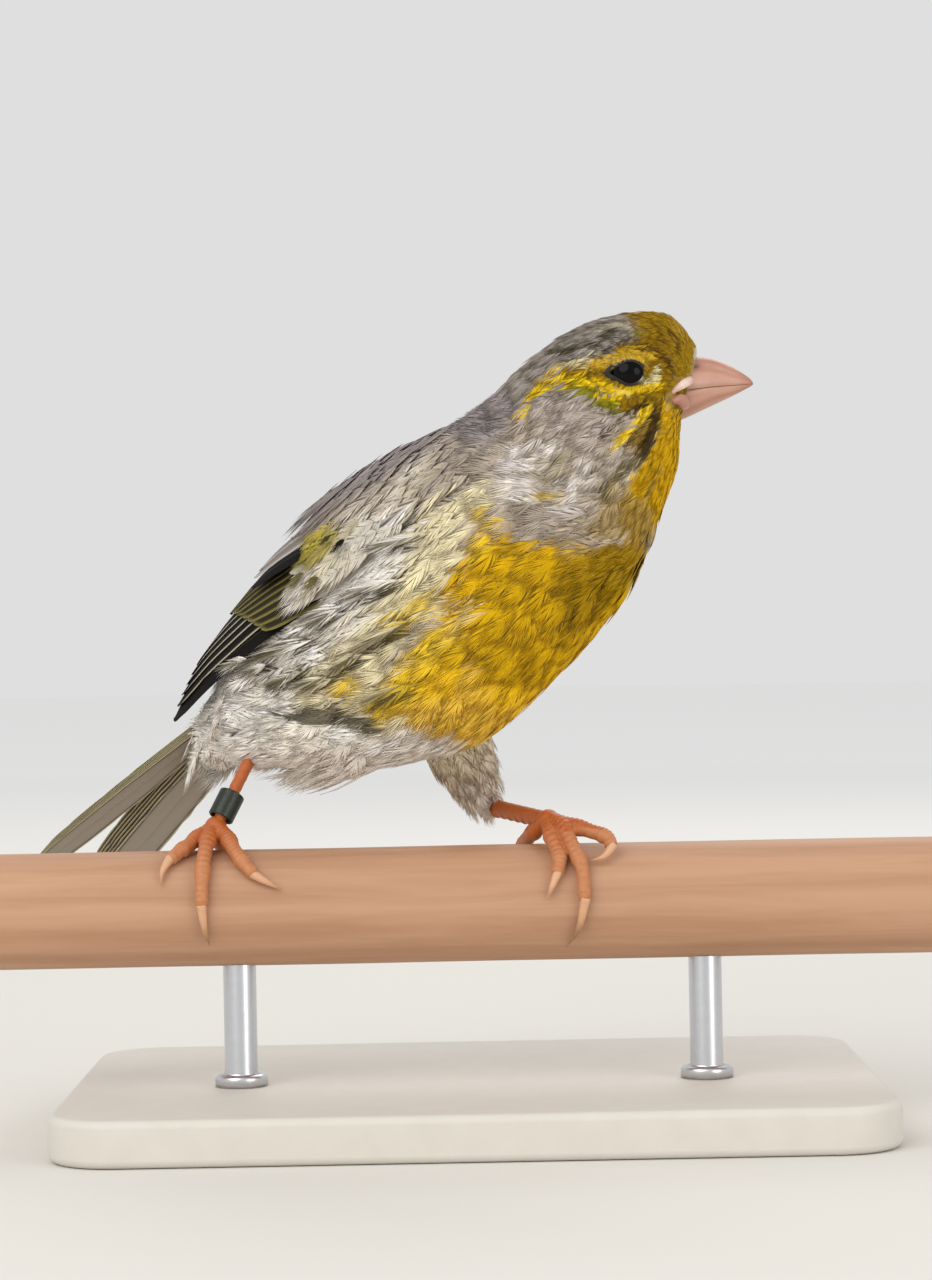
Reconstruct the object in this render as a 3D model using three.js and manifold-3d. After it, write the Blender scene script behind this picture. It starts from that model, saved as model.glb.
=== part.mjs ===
// A life-size canary gripping a short cut length of round wooden perch, on a plain display stand.
// Millimetres, +Z up. The origin is the centre of the base's underside. +X runs along the perch towards
// the side that the bird looks to, and its front toes come over the perch on the -Y side.
import * as THREE from "three";
import { mergeVertices } from "three/addons/utils/BufferGeometryUtils.js";
import Module from "manifold-3d";

const wasm = await Module();
wasm.setup();

// Driving sizes
const GAP = 0.3;
const BASE = { length: 108, depth: 78, height: 6, corner: 9, bevel: 0.8 };
const ROD = { radius: 2.2, reach: 16, spacing: 62, sides: 20 };
const PERCH = { radius: 7.75, length: 132, y: -7, sides: 32, chamfer: 0.7 };
const PERCH_Z = BASE.height + ROD.reach + PERCH.radius;

// The bird is built about the perch's axis, so z is 0 there and the perch's top is at PERCH.radius.
// Its body and head each have a pose: yaw towards -Y, nose up, and left side down, in degrees.
const BODY_POSE = { centre: [-6.1, 2, 38], yaw: 28, pitch: 36.5, roll: 18 };
const HEAD_POSE = { centre: [23.1, -11.5, 67.3], yaw: 2, pitch: 0, roll: 0 };

// Cross-sections from the tail root to the bill root, in the body's or the head's own frame: at is the
// place along it, rise and side put the middle, top and bottom reach up and down from there, half is the
// half-width, lean tips the section's top back, and turn swings it towards the right.
const SECTIONS = [
  { on: "body", at: -38, rise: 5.6, top: 3.8, bottom: 2.6, half: 4.2 },
  { on: "body", at: -33, rise: 5.4, top: 6.6, bottom: 5.4, half: 6.8 },
  { on: "body", at: -23.5, rise: 3.2, top: 11.4, bottom: 10.8, half: 11.4 },
  { on: "body", at: -12, rise: 1.0, top: 15.8, bottom: 16.2, half: 15.2 },
  { on: "body", at: 0, rise: -0.5, top: 18.2, bottom: 18.8, half: 17.2 },
  { on: "body", at: 15.5, rise: 0.2, lean: 7, top: 18.2, bottom: 18.6, half: 16.6 },
  { on: "body", at: 25, rise: 0.8, lean: 7, top: 16.6, bottom: 17.0, half: 14.6 },
  { on: "head", at: -7.4, side: 2.0, rise: -8.9, lean: 35, turn: 16, top: 15.0, bottom: 15.0, half: 12.2 },
  { on: "head", at: -3.0, side: 0.7, rise: -4.2, lean: 24, turn: 8, top: 13.6, bottom: 13.6, half: 9.8 },
  { on: "head", at: 1.3, rise: -0.6, lean: 17, top: 11.0, bottom: 11.2, half: 8.1 },
  { on: "head", at: 4.5, rise: 0.9, lean: 3, top: 8.6, bottom: 8.2, half: 6.5 },
  { on: "head", at: 6.5, rise: 0.4, lean: -15, top: 4.9, bottom: 5.0, half: 4.2 },
];
const BODY_MESH = { sides: 28, steps: 40 };
const HEAD_CUT = 7.5;
const NECK_CUT = 6.0;
const CUT_REACH = 60;

const EYE = { radius: 2.6, at: -1.35, rise: 1.4, out: 6.9, lid: 2.15, lidThick: 0.6, lidFlat: 0.8 };
const BILL = { root: 4.6, tip: 14.8, tipRise: 0.25, culmen: 4.5, gonys: 4.2, gape: -0.8, half: 3.3, hook: 0.35 };
const NOSTRIL = { at: 7.9, rise: 2.7, out: 2.0, radius: 0.5 };

// Folded wings. A place is [section number counted from the tail, degrees round from the spine, lift].
// Each row of vanes runs from its outermost feather to its innermost, and the shoulder is a smooth pad.
const VANE = { thick: 0.55, ridge: 0.14, tilt: 0.16, drape: 0.02, steps: 5 };
const SHOULDER = {
  path: [[6.1, 72, -2.6], [5.4, 64, -0.5], [4.6, 56, 0.5], [3.6, 47, 0.2], [2.6, 40, -0.8]],
  half: 6.4,
  thick: 1.9,
  tip: 0.5,
  tilt: -0.6,
  drape: 0.03,
};
const WING_ROWS = [
  {
    name: "primaries",
    count: 6,
    outer: [[4.2, 78, -1.6], [3.0, 57, -0.2], [1.8, 41, 1.1], [0.7, 27, 4.4]],
    inner: [[4.2, 64, -0.6], [3.2, 47, 1.3], [2.2, 32, 3.1], [1.35, 21, 5.0]],
    bow: 0.75,
    half: [2.2, 2.5],
    tip: 0.32,
  },
  {
    name: "secondaries",
    count: 4,
    outer: [[4.3, 63, -0.6], [3.6, 52, 0.9], [2.8, 41, 2.1], [1.9, 28, 3.6]],
    inner: [[4.3, 51, 0.0], [3.6, 43, 1.3], [2.9, 31, 2.5], [2.2, 20, 3.6]],
    bow: 0,
    half: [2.5, 2.6],
    tip: 0.55,
  },
  {
    name: "tertials",
    count: 3,
    outer: [[4.4, 50, 0.3], [3.9, 42, 1.5], [3.2, 31, 2.6], [2.35, 20, 3.6]],
    inner: [[4.5, 38, 0.0], [4.1, 29, 1.0], [3.6, 20, 1.9], [3.0, 12, 2.7]],
    bow: 0,
    half: [2.7, 2.9],
    tip: 0.5,
  },
  {
    name: "greater_coverts",
    count: 7,
    outer: [[4.9, 72, -0.8], [4.4, 66, 0.3], [3.9, 60, 0.9], [3.45, 55, 1.2]],
    inner: [[4.9, 42, 0.2], [4.4, 38, 1.2], [4.0, 34, 2.0], [3.5, 29, 2.9]],
    bow: 0,
    half: [1.9, 2.2],
    tip: 0.5,
  },
  {
    name: "median_coverts",
    count: 6,
    outer: [[5.5, 74, -0.9], [5.0, 69, 0.4], [4.6, 65, 0.8], [4.2, 61, 1.1]],
    inner: [[5.4, 44, -0.1], [5.0, 41, 0.9], [4.6, 38, 1.5], [4.2, 35, 2.1]],
    bow: 0,
    half: [1.9, 2.1],
    tip: 0.55,
  },
];

// Tail feathers, six a side, in the body's frame: roots stack down and out from the central pair, each
// side slopes away from the middle, and the fan swings a little to the left.
const TAIL = {
  count: 6,
  root: [-28, 0.4, 10.2],
  reach: [40, 44],
  spacing: 0.32,
  fan: [7.0, 7.8],
  swing: 1.3,
  slope: 12,
  drop: 0.34,
  half: 3.0,
  tip: 0.5,
};

const SHANK = { broad: 1.12, narrow: 0.8, sides: 10, steps: 8 };
const FOOT_BALL = 1.5;
const TOE = { root: 1.05, end: 0.78, knuckle: 0.16, sides: 8 };
const CLAW = { root: 0.66, tip: 0.12, sides: 7 };
const BAND = { along: 0.75, height: 3.8, inner: 1.5, outer: 2.0, sides: 24 };

// Legs and toes: ankle is a point, ball is [x, degrees round the perch towards -Y, height off it], and
// each toe goes on from the ball through points of the same kind; its last two are the claw's.
const LEGS = {
  right: {
    thigh: [[-14, -0.5, 24.8], [-22, 2.5, 23.2], [-28.3, 4.6, 21.4]],
    thighRadius: [5.8, 4.6, 1.9],
    ankle: [-28.0, 4.6, 23.3],
    ball: [-33.8, 1, 3.0],
    fore: [0, 1, 0],
    toes: [
      [[-34.4, 10, 2.2], [-35.0, 34, 1.2], [-35.2, 62, 0.9], [-35.2, 86, 0.9], [-34.9, 105, 0.8], [-34.4, 122, 0.5]],
      [[-35.8, 3, 1.9], [-37.2, 17, 1.2], [-38.4, 27, 1.0], [-39.6, 38, 0.9], [-40.4, 50, 0.8], [-40.6, 64, 0.5]],
      [[-32.2, 14, 2.0], [-31.1, 29, 1.2], [-29.6, 46, 1.0], [-28.2, 57, 0.9], [-26.5, 64, 0.8], [-24.8, 70, 0.5]],
      [[-33.4, -24, 1.5], [-33.2, -50, 1.0], [-33.2, -74, 0.9], [-33.4, -96, 0.8], [-33.8, -118, 0.5]],
    ],
  },
  left: {
    thigh: [[-4.4, 4, 26], [-1.8, 8, 19.6], [1.2, 11.8, 13.8]],
    thighRadius: [6.3, 4.7, 2.2],
    ankle: [2.4, 12.8, 12.3],
    ball: [10.5, 2, 3.1],
    fore: [0, 0, 1],
    toes: [
      [[12.2, 15, 2.9], [13.4, 35, 1.8], [14.6, 56, 1.0], [14.9, 86, 0.9], [14.0, 111, 0.8], [12.4, 132, 0.5]],
      [[10.8, 22, 1.8], [11.7, 45, 1.0], [11.3, 62, 0.9], [10.6, 73, 0.8], [10.0, 84, 0.5]],
      [[13.4, 15, 2.8], [16.2, 22, 2.4], [18.2, 29, 2.0], [18.6, 38, 1.7], [17.6, 45, 1.2], [15.6, 48, 0.7]],
      [[8.6, -10, 1.6], [7.2, -34, 1.0], [6.6, -60, 0.9], [6.3, -84, 0.8], [6.2, -106, 0.5]],
    ],
  },
};

const material = (color, roughness, metalness = 0) => new THREE.MeshStandardMaterial({ color, roughness, metalness });
const MATERIALS = {
  grey: material(0x9d9590, 0.85),
  olive: material(0x8f7f1c, 0.85),
  yellow: material(0xc79a12, 0.85),
  flight: material(0x4a443c, 0.7),
  bill: material(0xd9a48f, 0.45),
  eye: material(0x0a0807, 0.12),
  leg: material(0xc9784a, 0.55),
  claw: material(0xd8b99c, 0.4),
  band: material(0x3d4440, 0.4, 0.7),
  wood: material(0xc39a78, 0.7),
  base: material(0xd9d4ca, 0.6),
  rod: material(0xb9bcc0, 0.3, 1),
};

const vec = (p) => new THREE.Vector3(...p);
const rad = THREE.MathUtils.degToRad;
const lerp = THREE.MathUtils.lerp;

// Solids and meshes
function solid(geometry) {
  const bare = geometry.clone();
  bare.deleteAttribute("normal");
  bare.deleteAttribute("uv");
  const merged = mergeVertices(bare, 1e-4);
  const triVerts = new Uint32Array(merged.index.array);
  const vertProperties = merged.attributes.position.array;
  const make = () => new wasm.Manifold(new wasm.Mesh({ numProp: 3, vertProperties, triVerts }));
  const made = make();
  if (made.volume() > 0) return made;
  for (let i = 0; i < triVerts.length; i += 3) {
    [triVerts[i + 1], triVerts[i + 2]] = [triVerts[i + 2], triVerts[i + 1]];
  }
  return make();
}

const united = (pieces) => pieces.reduce((whole, piece) => whole.add(piece));
const largest = (shape) => shape.decompose().sort((a, b) => b.volume() - a.volume())[0];

function meshOf(name, shape, finish) {
  const { numProp, vertProperties, triVerts } = largest(shape).getMesh();
  const geometry = new THREE.BufferGeometry();
  geometry.setAttribute("position", new THREE.BufferAttribute(vertProperties, numProp));
  geometry.setIndex(new THREE.BufferAttribute(triVerts, 1));
  geometry.computeVertexNormals();
  const mesh = new THREE.Mesh(geometry, finish);
  mesh.name = name;
  return mesh;
}

// A closed tube: place gives the point at a turn (0 to 1) round it and a share (0 to 1) along it, and
// reach is 1 on its skin and 0 at the middle of its two ends.
function tube(sides, steps, place) {
  const geometry = new THREE.CylinderGeometry(1, 1, 1, sides, steps);
  const position = geometry.attributes.position;
  const point = new THREE.Vector3();
  for (let i = 0; i < position.count; i++) {
    point.fromBufferAttribute(position, i);
    const reach = Math.hypot(point.x, point.z) > 0.5 ? 1 : 0;
    const turn = (Math.round((Math.atan2(point.x, point.z) / (2 * Math.PI)) * sides) + sides) % sides;
    const along = Math.round((point.y + 0.5) * steps) / steps;
    position.setXYZ(i, ...place(turn / sides, along, reach));
  }
  return solid(geometry);
}

// A round tube along a curve, with its radius given at each share of its length.
function limb(points, radiusAt, sides, steps) {
  const curve = new THREE.CatmullRomCurve3(points, false, "centripetal");
  const frames = curve.computeFrenetFrames(steps);
  return tube(sides, steps, (turn, along, reach) => {
    const i = Math.round(along * steps);
    const angle = turn * 2 * Math.PI;
    const radius = radiusAt(along) * reach;
    return curve
      .getPointAt(along)
      .addScaledVector(frames.normals[i], radius * Math.cos(angle))
      .addScaledVector(frames.binormals[i], radius * Math.sin(angle));
  });
}

// Poses
function poseMatrix({ centre, yaw, pitch, roll }) {
  const turn = new THREE.Euler(rad(-roll), rad(-pitch), rad(-yaw), "ZYX");
  return new THREE.Matrix4().makeRotationFromEuler(turn).setPosition(vec(centre));
}
const FRAMES = { body: poseMatrix(BODY_POSE), head: poseMatrix(HEAD_POSE) };
const inBody = (x, y, z) => new THREE.Vector3(x, y, z).applyMatrix4(FRAMES.body);
const inHead = (x, y, z) => new THREE.Vector3(x, y, z).applyMatrix4(FRAMES.head);
const inBodyMatrix = (x, y, z) => FRAMES.body.clone().multiply(new THREE.Matrix4().makeTranslation(x, y, z));

// The body's skin: the point at a section number, degrees round from the spine to the left, and a lift.
function sectionPoint(section, degrees, lift) {
  const { on, at, rise, side = 0, lean = 0, turn = 0, top, bottom, half } = section;
  const angle = rad(degrees);
  const reach = Math.cos(angle) > 0 ? top : bottom;
  return new THREE.Vector3(0, (half + lift) * Math.sin(angle), (reach + lift) * Math.cos(angle))
    .applyEuler(new THREE.Euler(0, rad(-lean), rad(-turn), "ZYX"))
    .add(new THREE.Vector3(at, side, rise))
    .applyMatrix4(FRAMES[on]);
}

const ribs = new Map();
function skinPoint(number, degrees, lift = 0) {
  const key = `${degrees.toFixed(2)} ${lift}`;
  if (!ribs.has(key)) {
    const points = SECTIONS.map((section) => sectionPoint(section, degrees, lift));
    ribs.set(key, new THREE.CatmullRomCurve3(points, false, "catmullrom", 0.5));
  }
  return ribs.get(key).getPoint(THREE.MathUtils.clamp(number / (SECTIONS.length - 1), 0, 1));
}

function skinFrame(number, degrees) {
  const nudge = { along: 0.05, round: 2 };
  const point = skinPoint(number, degrees);
  const along = skinPoint(number + nudge.along, degrees).sub(skinPoint(number - nudge.along, degrees));
  const round = skinPoint(number, degrees + nudge.round).sub(skinPoint(number, degrees - nudge.round));
  return { point, normal: along.cross(round).normalize() };
}

function bodyLoft(lift) {
  const { sides, steps } = BODY_MESH;
  return tube(sides, steps, (turn, along, reach) => {
    const number = along * (SECTIONS.length - 1);
    if (reach) return skinPoint(number, turn * 360, lift);
    return skinPoint(number, 0).lerp(skinPoint(number, 180), 0.5);
  });
}

// A thin slab lying in a section's plane, to part the body there.
function sectionSlab(number) {
  const [top, side, bottom] = [0, 90, 180].map((degrees) => skinPoint(number, degrees));
  const across = side.clone().sub(top.clone().lerp(bottom, 0.5)).normalize();
  const up = top.clone().sub(bottom).normalize();
  const ahead = across.clone().cross(up).normalize();
  const slab = new THREE.BoxGeometry(GAP, CUT_REACH, CUT_REACH);
  const place = new THREE.Matrix4().makeBasis(ahead, across, ahead.clone().cross(across));
  return solid(slab.applyMatrix4(place.setPosition(top.lerp(bottom, 0.5))));
}

// A feather: a thin vane along a line of frames, widest past its middle, with a raised shaft. Its
// outer edge, to the given side, stands proud by tilt, and both edges bend down by drape.
function vane(frames, { half, thick, tip, ridge = 0, tilt = 0, drape = 0 }, side) {
  const last = frames.length - 1;
  const ring = [[-1, -0.5], [-1, 0.5], [0, 0.5], [1, 0.5], [1, -0.5], [0, -0.5]];
  return tube(ring.length, last, (turn, along, reach) => {
    const i = Math.round(along * last);
    const { point, normal } = frames[i];
    const ahead = frames[Math.min(i + 1, last)].point.clone().sub(frames[Math.max(i - 1, 0)].point).normalize();
    const left = normal.clone().cross(ahead.clone().negate()).normalize();
    const up = ahead.clone().negate().cross(left);
    const [edge, face] = reach ? ring[Math.round(turn * ring.length)] : [0, 0];
    const wide = edge * half * widthAt(along, tip);
    const shaft = edge === 0 && face > 0 ? ridge : 0;
    const raise = face * thick + shaft + tilt * edge * side - drape * wide * wide;
    return point.clone().addScaledVector(left, wide).addScaledVector(up, raise);
  });
}

function widthAt(along, tip) {
  const opening = 0.55 + 0.45 * Math.min(1, along / 0.5);
  const closing = Math.max(0, (along - 0.7) / 0.3);
  return opening * lerp(1, tip, closing ** 2);
}

// Head, neck and torso
const bodySkin = bodyLoft(0);
const bodyRoom = bodyLoft(GAP);
const headSlab = sectionSlab(HEAD_CUT);
const neckSlab = sectionSlab(NECK_CUT);

function bodyParts() {
  const parts = bodySkin.subtract(headSlab).subtract(neckSlab).decompose();
  const height = (part) => part.boundingBox().max[2];
  const [torso, neck, head] = parts.filter((p) => p.volume() > 50).sort((a, b) => height(a) - height(b));
  return { torso, neck, head };
}

// Bill
function billHalf(upper, grow) {
  const { root, tip, tipRise, culmen, gonys, gape, half, hook } = BILL;
  const steps = 7;
  const sides = 12;
  return tube(sides, steps, (turn, along, reach) => {
    const x = lerp(root - grow, tip + grow, along);
    const share = THREE.MathUtils.clamp((x - root) / (tip - root), 0, 1);
    const line = lerp(gape, tipRise, share) + (upper ? GAP / 2 - grow : grow - GAP / 2);
    const full = upper ? culmen * (1 - share ** 2.2) + hook * share : -gonys * (1 - share ** 1.25) - 0.1;
    const depth = (Math.abs(full) + grow * 2) * (upper ? 1 : -1);
    const wide = half * (1 - share ** 1.5) + 0.3 + grow;
    const angle = turn * 2 * Math.PI;
    const over = Math.max(0, Math.cos(angle));
    return inHead(x, reach * wide * Math.sin(angle), line + reach * depth * over);
  });
}

function billParts() {
  const sides = [1, -1].map((side) => {
    const { at, rise, out, radius } = NOSTRIL;
    const centre = inHead(at, side * out, rise);
    return solid(new THREE.SphereGeometry(radius, 8, 6).translate(centre.x, centre.y, centre.z));
  });
  return { upper: billHalf(true, 0).subtract(united(sides)), lower: billHalf(false, 0) };
}

// Eyes and lids
const eyeCentre = (side) => inHead(EYE.at, side * EYE.out, EYE.rise);

function eyeBall(side, grow) {
  const centre = eyeCentre(side);
  return solid(new THREE.SphereGeometry(EYE.radius + grow, 18, 12).translate(centre.x, centre.y, centre.z));
}

function lidRing(side) {
  const tall = EYE.lidFlat;
  const ring = new THREE.TorusGeometry(EYE.lid, EYE.lidThick, 8, 22).scale(1, tall, 1);
  const face = new THREE.Matrix4().makeRotationX((side * -Math.PI) / 2);
  const out = Math.sqrt(EYE.radius ** 2 - EYE.lid ** 2);
  const place = new THREE.Matrix4().makeTranslation(EYE.at, side * (EYE.out + out), EYE.rise);
  return solid(ring.applyMatrix4(FRAMES.head.clone().multiply(place).multiply(face)));
}

function headWithSockets(head) {
  const lids = united([lidRing(1), lidRing(-1)]);
  const sockets = united([eyeBall(1, GAP), eyeBall(-1, GAP)]);
  const bills = billHalf(true, GAP).add(billHalf(false, GAP));
  return head.add(lids).subtract(sockets).subtract(bills);
}

// Wings
function wingFrames(path, side, steps) {
  const curve = new THREE.CatmullRomCurve3(path.map(vec));
  return Array.from({ length: steps + 1 }, (_, i) => {
    const place = curve.getPoint(i / steps);
    const { point, normal } = skinFrame(place.x, side * place.y);
    return { point: point.addScaledVector(normal, place.z), normal };
  });
}

// One side of the bird, kept just clear of its middle plane.
function sideRoom(side) {
  const [depth, reach] = [40, 90];
  const box = new THREE.BoxGeometry(2 * reach, depth, 2 * reach);
  return solid(box.applyMatrix4(inBodyMatrix(-reach / 2, (side * (depth + GAP)) / 2, 0)));
}

function wingVanes(row, side) {
  const { count, outer, inner, bow, half, tip } = row;
  return Array.from({ length: count }, (_, i) => {
    const share = i / (count - 1);
    const path = outer.map((place, j) => place.map((value, k) => lerp(value, inner[j][k], share)));
    path.at(-1)[0] -= bow * Math.sin(Math.PI * Math.min(1, share * 1.4 + 0.15));
    return vane(wingFrames(path, side, VANE.steps), { ...VANE, half: lerp(...half, share), tip }, side);
  });
}

function wing(side) {
  const pad = vane(wingFrames(SHOULDER.path, side, 8), SHOULDER, side);
  const whole = united([pad, ...WING_ROWS.flatMap((row) => wingVanes(row, side))]);
  return whole.subtract(bodyRoom).intersect(sideRoom(side)).subtract(tail(GAP));
}

// Tail
function tail(grow) {
  const { count, root, reach, spacing, fan, swing, slope, drop, half, tip } = TAIL;
  const feathers = [1, -1].flatMap((side) => {
    const normal = new THREE.Vector3(0, Math.sin(rad(side * slope)), Math.cos(rad(slope)));
    const outward = new THREE.Vector3(0, side * Math.cos(rad(slope)), -Math.sin(rad(slope)));
    const world = normal.clone().transformDirection(FRAMES.body);
    return Array.from({ length: count }, (_, i) => {
      const share = i / (count - 1);
      const angle = rad(lerp(...fan, share) + side * swing);
      const start = vec(root).setY(0).addScaledVector(outward, root[1] + spacing * i);
      const away = new THREE.Vector3(-Math.cos(angle), 0, 0).addScaledVector(outward, Math.sin(angle));
      const frames = Array.from({ length: VANE.steps }, (_, j) => {
        const point = start.clone().addScaledVector(away, (lerp(...reach, share) * j) / (VANE.steps - 1));
        return { point: point.addScaledVector(normal, -drop * i).applyMatrix4(FRAMES.body), normal: world };
      });
      const shape = { half: half + grow, thick: VANE.thick + 2 * grow, ridge: VANE.ridge, tip };
      return vane(frames, shape, side);
    });
  });
  return united(feathers);
}

// Legs, feet and claws
function onPerch([x, degrees, lift]) {
  const reach = PERCH.radius + lift;
  return new THREE.Vector3(x, -reach * Math.sin(rad(degrees)), reach * Math.cos(rad(degrees)));
}

function perchRod(grow) {
  const { radius, length, sides, chamfer } = PERCH;
  const end = length / 2;
  const outline = [
    [0, -end], [radius - chamfer + grow, -end], [radius + grow, chamfer - end],
    [radius + grow, end - chamfer], [radius - chamfer + grow, end], [0, end],
  ];
  return new THREE.LatheGeometry(outline.map((p) => new THREE.Vector2(...p)), sides).rotateZ(Math.PI / 2);
}
const perchRoom = solid(perchRod(GAP));

function thigh({ thigh: line, thighRadius }, shank) {
  const [a, b, c] = thighRadius;
  const radius = (along) => (along < 0.5 ? lerp(a, b, along * 2) : lerp(b, c, along * 2 - 1));
  return limb(line.map(vec), radius, 14, 8).subtract(bodyRoom).subtract(shank);
}

function shank({ ankle, ball, fore }, grow) {
  const { broad, narrow, sides, steps } = SHANK;
  const [top, foot] = [vec(ankle), onPerch(ball)];
  const down = foot.clone().sub(top).normalize();
  const back = vec(fore).projectOnPlane(down).normalize();
  const across = down.clone().cross(back);
  return tube(sides, steps, (turn, along, reach) => {
    const swell = reach * (1 + 0.35 * Math.exp(-((along / 0.14) ** 2)));
    const angle = turn * 2 * Math.PI;
    return top
      .clone()
      .lerp(foot, along)
      .addScaledVector(back, (broad * swell + grow * reach) * Math.cos(angle))
      .addScaledVector(across, (narrow * swell + grow * reach) * Math.sin(angle));
  });
}

function footShape(leg, grow) {
  const centre = onPerch(leg.ball);
  const ball = new THREE.SphereGeometry(FOOT_BALL + grow, 12, 8).translate(centre.x, centre.y, centre.z);
  return united([solid(ball), ...leg.toes.map((points) => toe(leg, points, grow))]);
}

function toe(leg, points, grow) {
  const line = [leg.ball, ...points.slice(0, -2)].map(onPerch);
  const radius = (along) => grow + lerp(TOE.root, TOE.end, along) + TOE.knuckle * Math.cos(along * 3 * Math.PI) ** 2;
  return limb(line, radius, TOE.sides, 9);
}

function claw(points) {
  const curve = new THREE.CatmullRomCurve3(points.slice(-3).map(onPerch), false, "centripetal");
  const start = GAP + 0.4;
  const share = start / curve.getLength();
  const line = [0, 0.25, 0.5, 0.75, 1].map((i) => curve.getPointAt(lerp(share, 1, i)));
  const radius = (along) => lerp(CLAW.root, CLAW.tip, along ** 1.2);
  return limb(line, radius, CLAW.sides, 4);
}

function legBand(leg) {
  const foot = onPerch(leg.ball);
  const ankle = vec(leg.ankle);
  const { height, inner, outer, sides, along } = BAND;
  const wall = [[inner, -height / 2], [outer, -height / 2], [outer, height / 2], [inner, height / 2]];
  const outline = [...wall, wall[0]].map((p) => new THREE.Vector2(...p));
  const ring = new THREE.Mesh(new THREE.LatheGeometry(outline, sides), MATERIALS.band);
  ring.name = "leg_band";
  ring.position.copy(ankle.clone().lerp(foot, along));
  ring.quaternion.setFromUnitVectors(new THREE.Vector3(0, 1, 0), ankle.clone().sub(foot).normalize());
  return ring;
}

function legMeshes(side) {
  const leg = LEGS[side];
  const foot = footShape(leg, 0).subtract(perchRoom);
  return [
    meshOf(`thigh_${side}`, thigh(leg, shank(leg, GAP)), MATERIALS.grey),
    meshOf(`leg_${side}`, shank(leg, 0).subtract(footShape(leg, GAP)).subtract(bodyRoom), MATERIALS.leg),
    meshOf(`foot_${side}`, foot, MATERIALS.leg),
    ...leg.toes.map((points, i) => meshOf(`claw_${side}_${i + 1}`, claw(points).subtract(perchRoom), MATERIALS.claw)),
  ];
}

// Stand
function standMeshes() {
  const { length, depth, height, corner, bevel } = BASE;
  const x = length / 2 - bevel;
  const y = depth / 2 - bevel;
  const r = corner - bevel;
  const plate = new THREE.Shape();
  plate.absarc(x - r, y - r, r, 0, Math.PI / 2);
  plate.absarc(r - x, y - r, r, Math.PI / 2, Math.PI);
  plate.absarc(r - x, r - y, r, Math.PI, Math.PI * 1.5);
  plate.absarc(x - r, r - y, r, Math.PI * 1.5, Math.PI * 2);
  const bevels = { bevelThickness: bevel, bevelSize: bevel, bevelSegments: 2, curveSegments: 6 };
  const slab = new THREE.ExtrudeGeometry(plate, { depth: height - 2 * bevel, ...bevels });
  const base = meshOf("stand_base", solid(slab.translate(0, 0, bevel)), MATERIALS.base);
  const perchHole = solid(perchRod(GAP).translate(0, PERCH.y, PERCH_Z));
  const rods = [-1, 1].map((side) => {
    const tall = ROD.reach + PERCH.radius - GAP;
    const rod = new THREE.CylinderGeometry(ROD.radius, ROD.radius, tall, ROD.sides).rotateX(Math.PI / 2);
    const place = [(side * ROD.spacing) / 2, PERCH.y, BASE.height + GAP + tall / 2];
    const shape = solid(rod.translate(...place)).subtract(perchHole);
    return meshOf(side < 0 ? "stand_rod_left" : "stand_rod_right", shape, MATERIALS.rod);
  });
  const perch = meshOf("perch", solid(perchRod(0)), MATERIALS.wood);
  perch.position.set(0, PERCH.y, PERCH_Z);
  return [base, ...rods, perch];
}

function birdMeshes() {
  const { torso, neck, head } = bodyParts();
  const bill = billParts();
  return [
    meshOf("torso", torso, MATERIALS.yellow),
    meshOf("neck", neck, MATERIALS.grey),
    meshOf("head", headWithSockets(head), MATERIALS.olive),
    meshOf("bill_upper", bill.upper, MATERIALS.bill),
    meshOf("bill_lower", bill.lower, MATERIALS.bill),
    meshOf("eye_left", eyeBall(1, 0), MATERIALS.eye),
    meshOf("eye_right", eyeBall(-1, 0), MATERIALS.eye),
    meshOf("wing_left", wing(1), MATERIALS.flight),
    meshOf("wing_right", wing(-1), MATERIALS.flight),
    meshOf("tail", tail(0).subtract(bodyRoom), MATERIALS.flight),
    ...legMeshes("left"),
    ...legMeshes("right"),
    legBand(LEGS.right),
  ];
}

const bird = new THREE.Group();
bird.position.set(0, PERCH.y, PERCH_Z);
bird.add(...birdMeshes());
const canary = new THREE.Group();
canary.add(...standMeshes(), bird);

export default canary;
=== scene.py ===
# A life-size canary on a cut length of round perch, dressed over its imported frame.
# Metres, +Z up. Sizes in the tables are millimetres and are turned into metres with MM.
import math

import bmesh
import bpy
import numpy as np
from bpy.props import FloatProperty, FloatVectorProperty, IntProperty, PointerProperty
from mathutils import Euler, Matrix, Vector, kdtree


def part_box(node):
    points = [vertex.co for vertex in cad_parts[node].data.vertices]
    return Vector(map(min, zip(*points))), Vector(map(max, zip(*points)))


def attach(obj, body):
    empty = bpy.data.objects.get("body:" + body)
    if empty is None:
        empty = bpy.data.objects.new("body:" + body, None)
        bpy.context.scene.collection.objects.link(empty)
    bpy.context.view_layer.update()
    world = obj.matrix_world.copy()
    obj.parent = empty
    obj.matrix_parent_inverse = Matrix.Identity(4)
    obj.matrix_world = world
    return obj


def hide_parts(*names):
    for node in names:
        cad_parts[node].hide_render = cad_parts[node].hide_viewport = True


bl_info = {
    "name": "Perched canary",
    "version": (1, 0, 0),
    "blender": (4, 5, 0),
    "location": "View3D > Sidebar > Canary",
    "description": "Builds a life-size canary on a perch, feather by feather",
    "category": "Add Mesh",
}

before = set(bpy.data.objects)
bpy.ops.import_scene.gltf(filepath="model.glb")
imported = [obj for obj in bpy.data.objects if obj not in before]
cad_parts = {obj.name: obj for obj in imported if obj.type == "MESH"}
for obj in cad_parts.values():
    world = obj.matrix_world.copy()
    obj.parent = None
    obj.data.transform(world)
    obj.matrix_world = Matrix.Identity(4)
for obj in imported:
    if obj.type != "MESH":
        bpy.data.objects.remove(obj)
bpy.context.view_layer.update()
BODY = "root"
MM = 0.001
LAST = 11.0  # number of the last section of the body
SIDES = (("left", 1), ("right", -1))


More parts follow.
